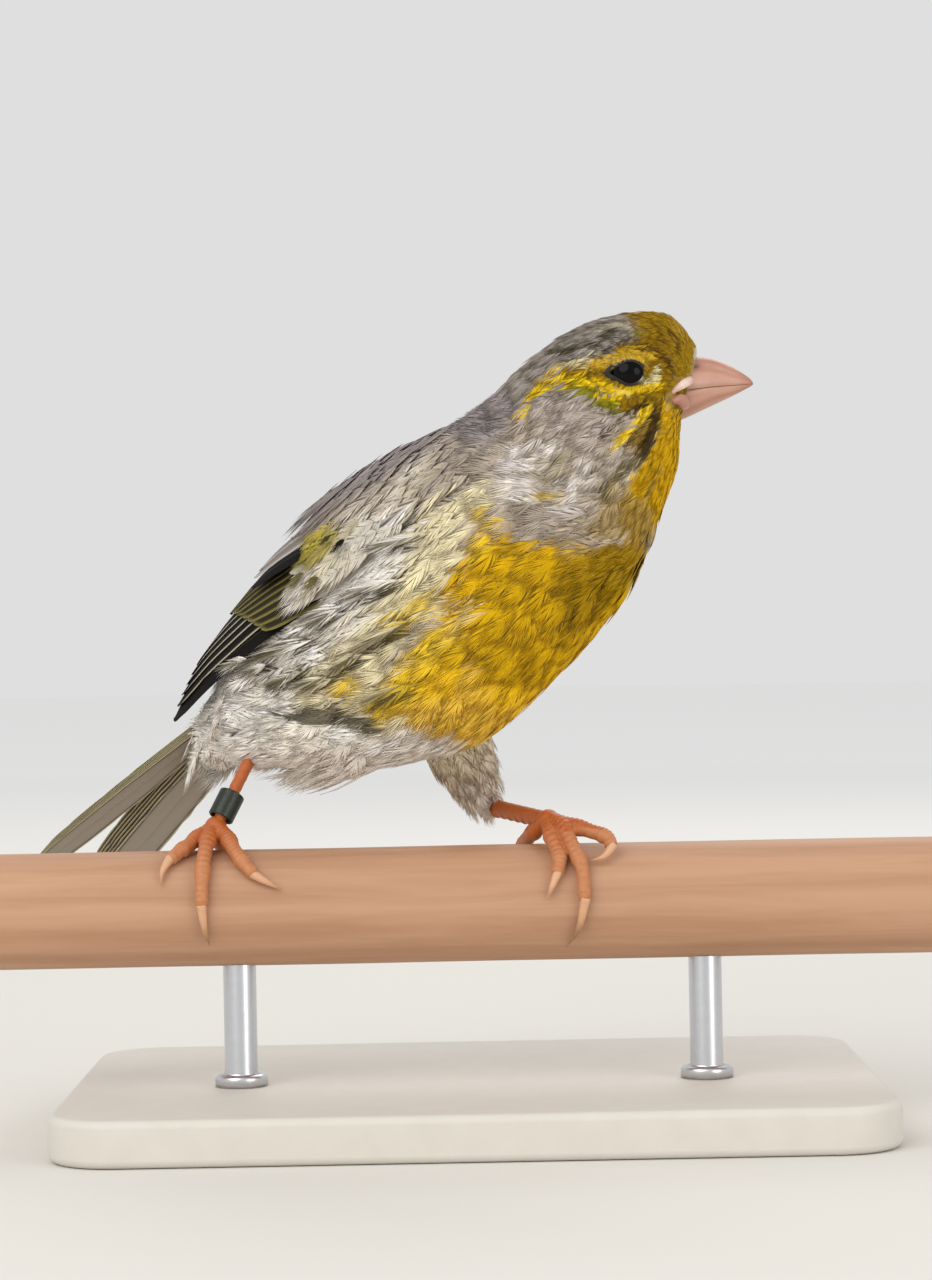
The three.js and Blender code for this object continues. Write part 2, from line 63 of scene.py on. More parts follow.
def corners(node):
    low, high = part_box(node)
    return np.array(low), np.array(high)


PERCH_LOW, PERCH_HIGH = corners("perch")
PERCH_CENTRE = (PERCH_LOW + PERCH_HIGH) / 2
PERCH_RADIUS = (PERCH_HIGH[2] - PERCH_LOW[2]) / 2
PERCH_LENGTH = PERCH_HIGH[0] - PERCH_LOW[0]

# The bird's sections from the tail root to the bill root, each in the body's or the head's own frame.
# A frame's pose is its centre over the perch's, and its yaw, pitch and roll in degrees.
BIRD_POSES = {"body": ((-6.1, 2, 38), 28, 36.5, 18), "head": ((23.1, -11.5, 67.3), 2, 0, 0)}
SECTIONS = [
    {"on": "body", "at": -38, "rise": 5.6, "top": 3.8, "bottom": 2.6, "half": 4.2},
    {"on": "body", "at": -33, "rise": 5.4, "top": 6.6, "bottom": 5.4, "half": 6.8},
    {"on": "body", "at": -23.5, "rise": 3.2, "top": 11.4, "bottom": 10.8, "half": 11.4},
    {"on": "body", "at": -12, "rise": 1.0, "top": 15.8, "bottom": 16.2, "half": 15.2},
    {"on": "body", "at": 0, "rise": -0.5, "top": 18.2, "bottom": 18.8, "half": 17.2},
    {"on": "body", "at": 15.5, "rise": 0.2, "lean": 7, "top": 18.2, "bottom": 18.6, "half": 16.6},
    {"on": "body", "at": 25, "rise": 0.8, "lean": 7, "top": 16.6, "bottom": 17.0, "half": 14.6},
    {"on": "head", "at": -7.4, "side": 2.0, "rise": -8.9, "lean": 35, "turn": 16,
     "top": 15.0, "bottom": 15.0, "half": 12.2},
    {"on": "head", "at": -3.0, "side": 0.7, "rise": -4.2, "lean": 24, "turn": 8,
     "top": 13.6, "bottom": 13.6, "half": 9.8},
    {"on": "head", "at": 1.3, "rise": -0.6, "lean": 17, "top": 11.0, "bottom": 11.2, "half": 8.1},
    {"on": "head", "at": 4.5, "rise": 0.9, "lean": 3, "top": 8.6, "bottom": 8.2, "half": 6.5},
    {"on": "head", "at": 6.5, "rise": 0.4, "lean": -15, "top": 4.9, "bottom": 5.0, "half": 4.2},
]

# Places in the head's own frame, with the eye's opening in front of its centre, behind and above.
EYE = {"radius": 2.6, "at": -1.35, "rise": 1.4, "out": 6.1,
       "front": 1.75, "rear": 2.45, "tall": 1.36, "rim": 0.9}
# Feathers near the eye: out to the first three distances from its centre they stand on the eyeball, are
# narrow and are short. Their tips are pushed away from the opening, less and less from a distance on.
EYE_COAT = {"raised": 2.2, "narrow": 3.2, "short": 4.5, "push": 1.7, "push_from": 1.7, "push_fade": 1.1}
BILL = {"root": 4.6, "tip": 14.8, "tip_rise": 0.25, "culmen": 4.5, "gonys": 3.5,
        "gape": -0.8, "half": 3.3, "hook": 0.35}
NOSTRIL = (7.3, 2.5)
GAPE = ((9.75, 103), (10.25, 100), (10.75, 93), (11.0, 86))
JAW = ((9.7, 110), (10.15, 113), (10.6, 119), (11.0, 127))

# Folded wings: places are (section number, degrees round from the spine, lift), outermost feather
# first, and each row's looks are the width of its pale edge and its colours.
WING_ROWS = [
    {"name": "primaries", "count": 6, "half": (2.1, 2.1), "tip": 0.6, "edge": 0.22, "bunch": 0.75,
     "core": "flight_black", "rim": "flight_edge", "plain": 1, "fade": (0.8, 0.92),
     "outer": ((4.3, 88, -0.4), (3.3, 83, 0.9), (2.2, 76, 1.9), (1.2, 67, 2.7), (0.5, 58.5, 3.3)),
     "inner": ((4.3, 64, 0.0), (3.4, 58, 1.2), (2.7, 51, 2.0), (2.0, 42, 2.7), (1.4, 35, 3.3))},
    {"name": "secondaries", "count": 9, "half": (1.5, 1.9), "tip": 0.55, "edge": 0.36,
     "core": "covert_brown", "rim": "covert_olive",
     "outer": ((4.4, 88, -0.4), (3.9, 87, 0.7), (3.4, 85, 1.6), (2.95, 82, 2.2)),
     "inner": ((4.4, 58, 0.2), (3.7, 53, 1.4), (3.0, 46, 2.2), (2.3, 39, 2.8))},
    {"name": "greater_coverts", "count": 9, "half": (1.5, 1.7), "tip": 0.6, "edge": 0.5,
     "core": "covert_buff", "rim": "tertial_edge",
     "outer": ((5.0, 88, -1.2), (4.55, 88, 0.2), (4.1, 88, 1.4), (3.62, 86, 2.2)),
     "inner": ((5.0, 54, -0.6), (4.6, 50, 0.8), (4.1, 47, 1.9), (3.6, 45, 2.6))},
    {"name": "tertials", "count": 3, "half": (1.5, 1.9), "tip": 0.6, "edge": 0.6,
     "core": "flight_black", "later": "tertial_grey", "rim": "tertial_edge", "plain": 1,
     "outer": ((4.5, 72, 0.6), (4.0, 68, 2.2), (3.5, 64, 3.0), (3.02, 60, 3.3)),
     "inner": ((4.5, 54, 0.6), (4.0, 50, 1.9), (3.5, 46, 2.6), (3.0, 42, 2.9))},
]
# Small dark feathers over the coverts: section number, degrees, length and how olive.
COVERT_SPOTS = ((4.25, 76, 2.6, 0.35), (4.36, 82, 3.0, 0.0), (3.98, 87, 3.2, 0.8), (3.82, 80, 3.4, 0.9))
WING_OUTER = ((0.7, 48), (1.8, 64), (3.0, 80), (3.6, 84), (4.2, 84), (5.4, 78))
WING_INNER = ((1.3, 27), (2.2, 22), (3.0, 14), (3.6, 22), (4.5, 38), (5.4, 46))
VANE = {"thick": 0.34, "ridge": 0.12, "tilt": 0.16, "drape": 0.02, "rows": 26}
TAIL = {"count": 6, "root": (-28, 10.2), "apart": 0.4, "reach": (40, 44), "spacing": 0.26, "fan": (7.0, 7.8),
        "swing": 1.3, "slope": 12, "drop": 0.34, "half": 3.2}

# Legs and toes: ankle is a point in the bird's frame, ball and toe points are (x, degrees round the
# perch towards -Y, height off it), and the last two points of a toe are its claw's.
SHANK = {"broad": 1.12, "narrow": 0.8, "swell": 0.35, "swell_reach": 0.14, "scutes": 9}
TOE = {"root": 1.05, "end": 0.78, "knuckle": 0.16, "ball": 1.5}
CLAW = {"root": 0.66, "tip": 0.06, "sunk": 0.5}
BAND = {"along": 0.75, "height": 3.8, "inner": 1.4, "outer": 1.74}
LEGS = {
    "right": {
        "thigh": ((-14, -0.5, 24.8), (-22, 2.5, 23.2), (-28.3, 4.6, 21.4)), "girth": (5.8, 4.6, 1.9),
        "ankle": (-28.2, 4.6, 21.8), "ball": (-33.8, 1, 3.0), "fore": (0, 1, 0),
        "toes": (
            ((-34.4, 10, 2.2), (-35.0, 34, 1.2), (-35.2, 62, 0.9), (-35.2, 86, 0.9), (-34.9, 105, 0.8),
             (-34.4, 122, 0.5)),
            ((-35.8, 3, 1.9), (-37.2, 17, 1.2), (-38.4, 27, 1.0), (-39.6, 38, 0.9), (-40.4, 50, 0.8),
             (-40.6, 64, 0.5)),
            ((-32.2, 14, 2.0), (-31.1, 29, 1.2), (-29.6, 46, 1.0), (-28.2, 57, 0.9), (-26.5, 64, 0.8),
             (-24.8, 70, 0.5)),
            ((-33.4, -24, 1.5), (-33.2, -50, 1.0), (-33.2, -74, 0.9), (-33.4, -96, 0.8), (-33.8, -118, 0.5)),
        ),
    },
    "left": {
        "thigh": ((-3.6, 4, 26), (-0.8, 8, 19.6), (1.6, 11.8, 13.8)), "girth": (5.7, 4.1, 2.4),
        "ankle": (2.4, 12.8, 12.3), "ball": (10.5, 2, 3.1), "fore": (0, 0, 1),
        "toes": (
            ((12.2, 15, 2.9), (13.4, 35, 1.8), (14.6, 56, 1.0), (14.9, 86, 0.9), (14.0, 111, 0.8),
             (12.4, 132, 0.5)),
            ((10.8, 22, 1.8), (11.7, 45, 1.0), (11.3, 62, 0.9), (10.6, 73, 0.8), (10.0, 84, 0.5)),
            ((13.4, 15, 2.8), (16.2, 22, 2.4), (18.2, 29, 2.0), (18.6, 38, 1.7), (17.6, 45, 1.2),
             (15.6, 48, 0.7)),
            ((8.6, -10, 1.6), (7.2, -34, 1.0), (6.6, -60, 0.9), (6.3, -84, 0.8), (6.2, -106, 0.5)),
        ),
    },
}

# Markings, painted in this order: a colour laid along a line of (section number, degrees from the
# spine) places on both sides, with its half-width, soft edge and strength, and where it has dark
# shaft streaks their share.
MARKS = [
    ("mantle_grey", ((2.2, 10), (4.5, 20), (6.6, 20), (7.6, 20)), 13, 5, 1.0, 0.5),
    ("rump_olive", ((0.6, 10), (1.8, 15)), 6, 4, 0.6, 0.3),
    ("down_white", ((0.3, 100), (1.5, 125), (2.1, 160), (0.8, 170)), 12, 4, 1.0),
    ("down_white", ((1.6, 92), (2.6, 103), (3.6, 96), (4.4, 90)), 5.0, 4, 1.0),
    ("collar_lilac", ((5.4, 64), (4.9, 70), (4.6, 74)), 3.0, 3, 0.9, 0.1),
    ("collar_pale", ((5.1, 66), (4.7, 74)), 1.0, 2, 0.6),
    ("down_white", ((2.6, 160), (3.2, 172)), 6, 4, 0.9),
    ("flank_buff", ((2.8, 122), (3.7, 117), (4.5, 111), (4.9, 98)), 3.2, 3, 0.9),
    ("flank_buff", ((3.4, 140), (3.9, 145)), 5, 3, 0.8),
    ("flank_buff", ((5.1, 70), (4.7, 80)), 1.4, 2, 0.35),
    ("collar_lilac", ((6.6, 84), (6.6, 115), (6.7, 138)), 6.5, 2, 1.0, 0.1),
    ("flank_buff", ((5.8, 106), (5.4, 101), (5.0, 96)), 1.7, 2, 0.8),
    ("collar_warm", ((7.0, 132), (6.6, 140), (6.2, 147)), 3.0, 3, 0.85, 0.1),
    ("breast_gold", ((4.75, 134), (5.0, 138), (5.12, 147), (5.4, 158), (5.65, 170), (5.9, 180)),
     5.4, 2.2, 1.0),
    ("breast_gold", ((4.95, 136), (4.75, 148), (4.6, 162), (4.5, 180)), 6.2, 2.6, 1.0),
    ("breast_gold", ((5.1, 156), (5.0, 172)), 5, 2, 1.0),
    ("breast_gold", ((4.3, 140), (4.1, 148)), 3.2, 2.4, 1.0),
    ("flank_buff", ((4.6, 133), (4.25, 137), (3.95, 141)), 0.7, 1.4, 0.6),
    ("collar_lilac", ((6.2, 140), (6.1, 150)), 1.3, 1.6, 0.9, 0.1),
    ("flank_yellow", ((5.0, 119), (5.4, 112)), 1.3, 2.2, 0.8),
    ("breast_orange", ((3.95, 150), (4.05, 166), (4.1, 180)), 5.0, 2.4, 0.85),
    ("flank_yellow", ((4.35, 134), (3.9, 139), (3.6, 142)), 2.2, 2.2, 0.85),
    ("flank_yellow", ((3.35, 145), (3.5, 141)), 1.6, 1.6, 0.9),
    ("flank_yellow", ((3.2, 125), (3.45, 124)), 1.3, 1.2, 0.9),
    ("flank_yellow", ((4.45, 118), (4.1, 116)), 1.0, 1.6, 0.8),
    ("flank_yellow", ((6.4, 112), (6.15, 113)), 0.5, 0.9, 0.7),
    # Pale strokes on the neck: painted highlights
    ("collar_pale", ((6.4, 84), (6.1, 96), (5.9, 110)), 1.5, 2.4, 0.8),
    ("collar_pale", ((7.05, 104), (6.7, 108), (6.3, 122)), 1.0, 1.6, 0.8),
    ("collar_pale", ((6.9, 84), (6.5, 92)), 1.0, 1.6, 0.7),
    ("collar_pale", ((6.7, 146), (6.4, 150)), 0.6, 0.8, 0.7),
    # Olive strokes on the neck: painted shade between the highlights
    ("collar_olive", ((6.75, 98), (6.45, 102)), 0.7, 1.2, 0.7),
    ("collar_olive", ((7.05, 88), (6.8, 91), (6.5, 88)), 0.6, 1.2, 0.55),
    ("collar_olive", ((7.3, 50), (6.9, 42)), 0.8, 1.6, 0.5),
    # Painted shade down the front of the breast and chest, olive over the gold
    ("breast_olive", ((7.2, 152), (6.8, 160), (6.3, 168), (5.6, 172), (5.0, 180)), 3.6, 5, 0.8),
    ("chest_buff", ((7.1, 150), (7.5, 140), (7.9, 152), (7.6, 170)), 2.6, 2, 0.9),
    ("dark_patch", ((2.2, 126), (2.6, 131), (2.9, 136)), 1.4, 1.2, 0.9),
    ("dark_patch", ((2.95, 138), (3.12, 148)), 1.5, 1.2, 0.9),
    ("dark_patch", ((1.55, 120), (1.33, 121)), 0.5, 0.6, 0.8),
    ("flank_streak", ((4.8, 101), (4.5, 93)), 0.42, 0.6, 0.9),
    ("flank_streak", ((4.37, 106), (3.96, 97)), 0.62, 0.6, 0.9),
    ("flank_streak", ((3.86, 99), (3.47, 96)), 0.52, 0.6, 0.9),
    ("flank_streak", ((3.3, 101), (2.45, 84)), 0.62, 0.6, 0.9),
    ("flank_streak", ((4.22, 120), (3.86, 117)), 0.57, 0.6, 0.9),
    ("flank_streak", ((3.7, 118), (3.36, 117)), 0.57, 0.6, 0.9),
    ("flank_streak", ((2.9, 109), (2.4, 106)), 0.82, 0.7, 0.9),
    ("flank_streak", ((2.35, 88), (2.1, 82)), 0.52, 0.6, 0.9),
    ("flank_streak", ((2.55, 97), (2.28, 93)), 0.52, 0.6, 0.9),
    ("flank_streak", ((3.2, 119), (2.85, 117)), 0.52, 0.6, 0.9),
    ("flank_streak", ((3.85, 140), (3.5, 138)), 0.52, 0.6, 0.9),
    ("crown_grey", ((7.3, 15), (8.3, 18), (8.8, 15)), 6.5, 2, 1.0, 0.25),
    ("face_olive", ((9.35, 5), (9.5, 35), (9.45, 65), (9.2, 90), (9.5, 112)), 2.9, 2.2, 1.0),
    ("face_olive", ((10.9, 20), (10.6, 60), (10.6, 90), (10.4, 112)), 2.4, 1.0, 1.0),
    ("cheek_lilac", ((7.15, 66), (7.3, 78), (7.5, 92)), 2.5, 0.9, 1.0, 0.05),
    ("face_olive", ((9.0, 94), (8.65, 93), (8.35, 90)), 1.7, 0.9, 1.0),
    ("face_olive", ((8.9, 76), (8.4, 73), (8.0, 66), (7.7, 58)), 1.9, 0.8, 1.0),
    ("face_olive", ((8.85, 106), (8.5, 112), (8.2, 114)), 1.3, 0.8, 0.9),
    ("cheek_green", ((7.62, 65), (7.85, 76), (8.1, 86)), 1.05, 0.6, 1.0),
    ("cheek_lilac", ((7.8, 93), (8.1, 93)), 0.5, 0.5, 0.9),
    ("face_olive", ((8.6, 57), (8.95, 58), (9.3, 62)), 0.9, 0.6, 1.0),
    ("forehead_yellow", ((10.9, 5), (10.2, 20), (10.3, 50), (10.5, 75)), 1.9, 1.2, 0.9),
    ("forehead_yellow", ((9.9, 95), (9.6, 100), (9.3, 98)), 0.8, 0.8, 0.7),
    ("brow_pale", ((8.35, 31), (8.7, 29), (8.9, 38)), 0.5, 0.8, 0.45),
    ("crown_streak", ((7.5, 28), (7.85, 40), (8.25, 43), (8.6, 38)), 0.6, 0.5, 0.9),
    ("crown_streak", ((7.7, 45), (8.1, 53), (8.8, 50)), 0.28, 0.35, 0.9),
    ("crown_streak", ((7.3, 27), (7.9, 24), (8.6, 22)), 0.35, 0.6, 0.6),
    ("crown_streak", ((7.4, 10), (8.2, 9), (8.9, 8)), 0.35, 0.6, 0.6),
    ("cheek_green", ((8.95, 46), (9.1, 44)), 0.45, 0.5, 0.9),
    ("mottle_brown", ((8.72, 61), (8.93, 57), (9.12, 60), (9.25, 65)), 0.45, 0.35, 0.9),
    ("mottle_brown", ((9.33, 66), (9.55, 74), (9.65, 80)), 0.5, 0.4, 0.9),
    ("mottle_brown", ((9.85, 44), (10.15, 54), (10.1, 66)), 0.34, 0.4, 0.85),
    ("mottle_brown", ((9.5, 50), (9.65, 60)), 0.32, 0.4, 0.75),
    ("mottle_brown", ((9.7, 84), (9.85, 90)), 0.35, 0.5, 0.6),
    ("brow_yellow", ((9.1, 68), (8.78, 60), (8.4, 60), (8.1, 57), (7.9, 54)), 0.75, 0.5, 0.95),
    ("brow_pale", ((8.0, 54), (7.75, 51), (7.5, 47)), 0.6, 0.6, 0.9),
    ("brow_yellow", ((7.5, 47), (7.2, 45)), 0.6, 0.7, 0.7),
    ("eye_line", ((8.4, 70), (8.08, 64), (7.83, 61), (7.4, 54)), 0.24, 0.3, 0.85),
    ("stripe_yellow", ((9.1, 91), (8.83, 89), (8.38, 82), (8.05, 73)), 0.55, 0.4, 1.0),
    ("stripe_yellow", ((8.1, 72), (7.7, 62), (7.4, 53), (7.12, 50), (6.93, 54), (6.7, 60)), 0.55, 0.5, 1.0),
    ("stripe_yellow", ((8.3, 86), (7.9, 76)), 0.3, 0.35, 0.9),
    ("eye_pale", ((8.88, 86), (9.1, 84), (9.24, 80)), 0.36, 0.3, 0.95),
    ("eye_pale", ((9.05, 89), (9.22, 87)), 0.2, 0.25, 0.8),
    ("malar_brown", ((8.7, 98), (8.5, 97), (8.3, 96)), 0.5, 0.5, 0.95),
    ("malar_brown", ((8.85, 103), (9.2, 105), (9.6, 106)), 0.22, 0.35, 0.75),
    ("malar_brown", ((8.2, 95), (8.0, 97), (7.7, 97)), 0.2, 0.3, 0.8),
    ("stripe_yellow", ((8.62, 102), (8.25, 104), (7.85, 106)), 0.6, 0.5, 0.95),
    ("malar_brown", ((8.75, 108), (8.5, 115), (8.33, 120), (8.1, 122)), 0.75, 0.5, 0.95),
    ("malar_olive", ((8.1, 122), (7.55, 119), (6.95, 119)), 0.7, 0.7, 0.85),
    ("malar_brown", ((8.35, 108), (8.03, 109)), 0.28, 0.4, 0.7),
    ("throat_gold", ((9.25, 114), (9.05, 121), (8.65, 129), (8.2, 133), (7.8, 135)), 1.4, 0.6, 1.0),
    ("throat_gold", ((10.3, 140), (9.4, 146), (8.7, 150), (8.2, 154)), 2.4, 0.9, 1.0),
    ("throat_gold", ((10.2, 178), (9.0, 178), (8.2, 178)), 3.4, 1.4, 0.95),
    ("malar_olive", ((8.45, 141), (8.0, 144), (7.75, 142)), 0.35, 0.5, 0.7),
    ("brow_pale", ((7.4, 124), (7.8, 126)), 0.28, 0.4, 0.7),
    ("chin_white", ((10.85, 152), (10.9, 178), (10.4, 178)), 0.9, 0.7, 0.9),
    # Dark chin feathers and painted shade under the bill
    ("gape_dark", ((10.45, 127), (10.8, 132), (10.98, 140)), 0.55, 0.35, 0.95),
    ("chin_white", ((10.98, 10), (10.98, 44)), 0.4, 0.4, 0.7),
]

# Sizes of the coat along the body, in millimetres: feathers rise off the skin in degrees, and the skin
# lies at a depth under the solid's surface.
COAT = {
    "number": (0, 1.5, 3, 5, 6.5, 7.5, 8.5, 9.5, 10.4, 11),
    "gap": (1.5, 1.45, 1.4, 1.3, 1.15, 0.92, 0.74, 0.6, 0.5, 0.45),
    "length": (8, 8.6, 8.2, 7.2, 6.2, 4.8, 3.4, 2.4, 1.6, 1.1),
    "half": (1.9, 2, 1.9, 1.6, 1.4, 1.05, 0.75, 0.56, 0.42, 0.34),
    "rise": (7, 8, 8, 7, 7, 7, 7, 8, 8, 8),
    "depth": (0.9, 1.2, 1.3, 1.2, 1, 0.8, 0.55, 0.4, 0.28, 0.2),
}
PATCH = 0.003  # size of a feather's patch on the baking map

# Light and dark rows of the coat: radians for each degree round the body and for each section, and a start.
RIPPLES = ((0.55, 4.3, 0.3), (0.93, -5.1, 2.0), (1.6, 6.3, 4.1), (0.31, -3.7, 1.2))


def srgb(red, green, blue):
    """A colour as it looks on a screen, 0 to 255, as linear light."""
    def channel(value):
        share = value / 255
        return share / 12.92 if share <= 0.04045 else ((share + 0.055) / 1.055) ** 2.4
    return tuple(channel(value) for value in (red, green, blue))


def tint(name, red, green, blue):
    """A colour that the user can change, 0 to 255."""
    return FloatVectorProperty(
        name=name, description=f"Colour of the {name.lower()}", subtype="COLOR", size=3, min=0, max=1,
        default=srgb(red, green, blue))


def length_property(name, description, millimetres):
    return FloatProperty(
        name=name, description=description, default=millimetres * MM, unit="LENGTH", min=0)


class CanaryPlumage(bpy.types.PropertyGroup):
    """Colours and sizes of the body feathers."""

    barbs: IntProperty(
        name="Barbs", description="Barb tufts on each side of a body feather", default=13, min=4)
    head_barbs: IntProperty(
        name="Head barbs", description="Barb tufts on each side of a head feather", default=7, min=3)
    fluff: FloatProperty(name="Fluff", description="How far feathers stand off the body", default=1.0, min=0)
    voxel: length_property("Skin voxel", "Voxel of the skin under the feathers", 0.5)
    mantle_grey: tint("Mantle", 152, 142, 138)
    rump_olive: tint("Rump", 176, 166, 124)
    down_white: tint("Belly down", 254, 247, 237)
    flank_buff: tint("Flank buff", 238, 226, 184)
    flank_yellow: tint("Flank yellow", 232, 196, 36)
    collar_lilac: tint("Collar", 180, 166, 150)
    breast_gold: tint("Breast gold", 212, 168, 4)
    breast_orange: tint("Lower breast", 250, 202, 30)
    # Painted shade on the front of the breast
    breast_olive: tint("Shade on the breast front", 150, 116, 4)
    chest_buff: tint("Chest front", 180, 146, 62)
    dark_patch: tint("Dark flank patch", 92, 84, 62)
    crown_grey: tint("Crown", 148, 138, 128)
    face_olive: tint("Face", 148, 114, 4)
    forehead_yellow: tint("Forehead", 168, 132, 6)
    mottle_brown: tint("Face mottles", 90, 56, 6)
    brow_yellow: tint("Eyebrow", 206, 168, 40)
    cheek_green: tint("Cheek green", 126, 120, 14)
    stripe_yellow: tint("Cheek stripe", 228, 192, 14)
    cheek_lilac: tint("Cheek patch", 181, 167, 156)
    malar_brown: tint("Malar streak", 66, 48, 14)
    throat_gold: tint("Throat", 212, 166, 0)
    chin_white: tint("Chin", 222, 212, 190)
    # Dark chin feathers and painted shade under the bill
    gape_dark: tint("Dark chin and shade under the bill", 64, 42, 26)
    eye_line: tint("Line behind the eye", 96, 78, 18)
    brow_pale: tint("Pale brow patch", 212, 200, 160)
    crown_streak: tint("Crown streaks", 74, 68, 44)
    flank_streak: tint("Flank streaks", 86, 74, 46)
    eye_pale: tint("Eye crescent", 232, 226, 180)
    streak_dark: tint("Shaft streaks", 84, 74, 70)
    # Pale grey of some feathers, and painted highlights on the neck
    collar_pale: tint("Pale grey and painted highlights", 232, 224, 218)
    # Painted olive shade on the neck
    collar_olive: tint("Olive shade on the collar", 158, 148, 108)
    malar_olive: tint("Olive malar streak", 116, 102, 62)
    collar_warm: tint("Front of the collar", 178, 152, 98)
    thigh_beige: tint("Thighs", 212, 198, 168)


class CanaryFlight(bpy.types.PropertyGroup):
    """Colours and sizes of the wing and tail feathers."""

    thick: length_property("Vane", "Thickness of a vane along its shaft", VANE["thick"])
    flight_black: tint("Flight feathers", 22, 19, 17)
    flight_edge: tint("Flight feather edges", 190, 180, 156)
    covert_brown: tint("Covert centres", 46, 40, 28)
    covert_olive: tint("Olive edges", 122, 112, 60)
    covert_buff: tint("Buff edges", 190, 180, 146)
    covert_yellow: tint("Yellow edges", 186, 166, 22)
    tertial_edge: tint("Tertial edges", 186, 177, 170)
    tertial_grey: tint("Inner tertials", 134, 125, 119)
    tail_grey: tint("Tail", 176, 167, 154)
    tail_edge: tint("Tail edges", 206, 196, 160)
    shaft_pale: tint("Shafts", 168, 152, 132)


class CanaryHead(bpy.types.PropertyGroup):
    """Colours of the bill and the eyes."""

    bill_pink: tint("Bill", 180, 128, 106)
    bill_pale: tint("Bill streaks", 206, 164, 142)
    bill_grey: tint("Bill ridge", 160, 102, 80)
    lid: tint("Eyelid", 26, 20, 11)
    lid_pale: tint("Pale eyelid", 214, 204, 150)
    gape: tint("Gape", 232, 204, 190)
    # Painted shade in the crease between the two halves of the bill, along the mouth line
    mouth: tint("Shade along the mouth line", 142, 90, 66)
    iris: tint("Iris", 5, 4, 4)


class CanaryLegs(bpy.types.PropertyGroup):
    """Colours and sizes of the legs."""

    foot_voxel: length_property("Foot voxel", "Voxel of the joined toes", 0.14)
    skin_orange: tint("Leg skin", 178, 92, 34)
    skin_pink: tint("Toes", 182, 106, 52)
    skin_pale: tint("Toe pads", 214, 166, 128)
    claw_horn: tint("Claws", 156, 118, 78)
    ring: tint("Leg ring", 54, 58, 52)


class CanaryStand(bpy.types.PropertyGroup):
    """Colours and sizes of the perch and the display stand."""

    wood_light: tint("Perch wood", 194, 151, 120)
    wood_dark: tint("Perch grain", 174, 129, 97)
    base_paint: tint("Base", 214, 208, 198)
    bevel: length_property("Base bevel", "Round of the base's top edge", 1.1)


class CanaryStage(bpy.types.PropertyGroup):
    """Light and floor of the studio."""

    floor: tint("Floor", 224, 221, 214)
    key: FloatProperty(name="Key", description="Watts of the main soft light", default=3.35, min=0)
    fill: FloatProperty(name="Fill", description="Watts of the other soft lights", default=1.45, min=0)
    sky: FloatProperty(name="Sky", description="Strength of the light all round", default=0.88, min=0)


def rad(degrees):
    return degrees * math.pi / 180


def smooth(low, high, value):
    share = np.clip((value - low) / (high - low), 0, 1)
    return share * share * (3 - 2 * share)


def bell(value, width):
    return np.exp(-((value / width) ** 2))


def between(pair, share):
    """From the first of a pair to the second."""
    return pair[0] + (pair[1] - pair[0]) * share


def toward(colours, target, share):
    """Colours moved a share of the way to another, with one share for each of them."""
    return colours + np.asarray(share)[..., None] * (target - colours)


def curve(a, b, c, d, share):
    """A smooth line from b to c, with a before them and d after."""
    return b + 0.5 * share * (c - a + share * (2 * a - 5 * b + 4 * c - d + share * (3 * (b - c) + d - a)))


def interpolated(values, stations, rows):
    """Rows of three numbers, given at stations and read between them."""
    return np.stack([np.interp(values, stations, rows[:, k]) for k in range(3)], -1)


def unit(vectors):
    return vectors / np.maximum(np.linalg.norm(vectors, axis=-1, keepdims=True), 1e-12)


def flattened(vectors, normals):
    """Directions square to the normals."""
    return unit(vectors - normals * (vectors * normals).sum(-1, keepdims=True))


def turn_matrix(yaw=0, pitch=0, roll=0):
    """Yaw towards -Y, nose up and left side down, in degrees."""
    return np.array(Euler((-rad(roll), -rad(pitch), -rad(yaw)), "XYZ").to_matrix())


POSES = {
    name: (turn_matrix(yaw, pitch, roll), np.array(centre) * MM + PERCH_CENTRE)
    for name, (centre, yaw, pitch, roll) in BIRD_POSES.items()
}


def placed(name, points):
    """Points of the body's or head's own frame, in metres, in the frame of the whole part."""
    rotation, centre = POSES[name]
    return points @ rotation.T + centre


def rib_points(degrees, lift):
    """The points of every section at these degrees and lifts."""
    angle = np.radians(degrees)
    ribs = []
    for section in SECTIONS:
        reach = np.where(np.cos(angle) > 0, section["top"], section["bottom"]) * MM + lift
        side = (section["half"] * MM + lift) * np.sin(angle)
        local = np.stack([np.zeros_like(angle), side, reach * np.cos(angle)], -1)
        tilt = turn_matrix(section.get("turn", 0), section.get("lean", 0))
        centre = np.array([section["at"], section.get("side", 0), section["rise"]]) * MM
        ribs.append(placed(section["on"], local @ tilt.T + centre))
    return np.stack(ribs)


def skin(number, degrees, lift=0.0):
    """Points of the body's surface at section numbers and degrees from the spine to the left."""
    number, degrees, lift = np.broadcast_arrays(*(np.asarray(v, float) for v in (number, degrees, lift)))
    ribs = rib_points(degrees, lift)
    last = len(SECTIONS) - 1
    low = np.clip(np.floor(number).astype(int), 0, last - 1)
    share = (number - low)[..., None]

    def rib(index):
        return np.take_along_axis(ribs, np.clip(index, 0, last)[None, ..., None], 0)[0]

    b, c = rib(low), rib(low + 1)
    a = np.where((low > 0)[..., None], rib(low - 1), 2 * b - c)
    d = np.where((low < last - 1)[..., None], rib(low + 2), 2 * c - b)
    return curve(a, b, c, d, share)


def skin_frame(number, degrees):
    """Outward normal, direction towards the bill, and metres for each section number and each degree."""
    nudge, swing = 0.03, 1.0
    along = (skin(number + nudge, degrees) - skin(number - nudge, degrees)) / (2 * nudge)
    around = (skin(number, degrees + swing) - skin(number, degrees - swing)) / (2 * swing)
    normal = unit(np.cross(along, around))
    ahead = flattened(along, normal)
    return normal, ahead, np.linalg.norm(along, axis=-1), np.linalg.norm(around, axis=-1)


# Mesh helpers


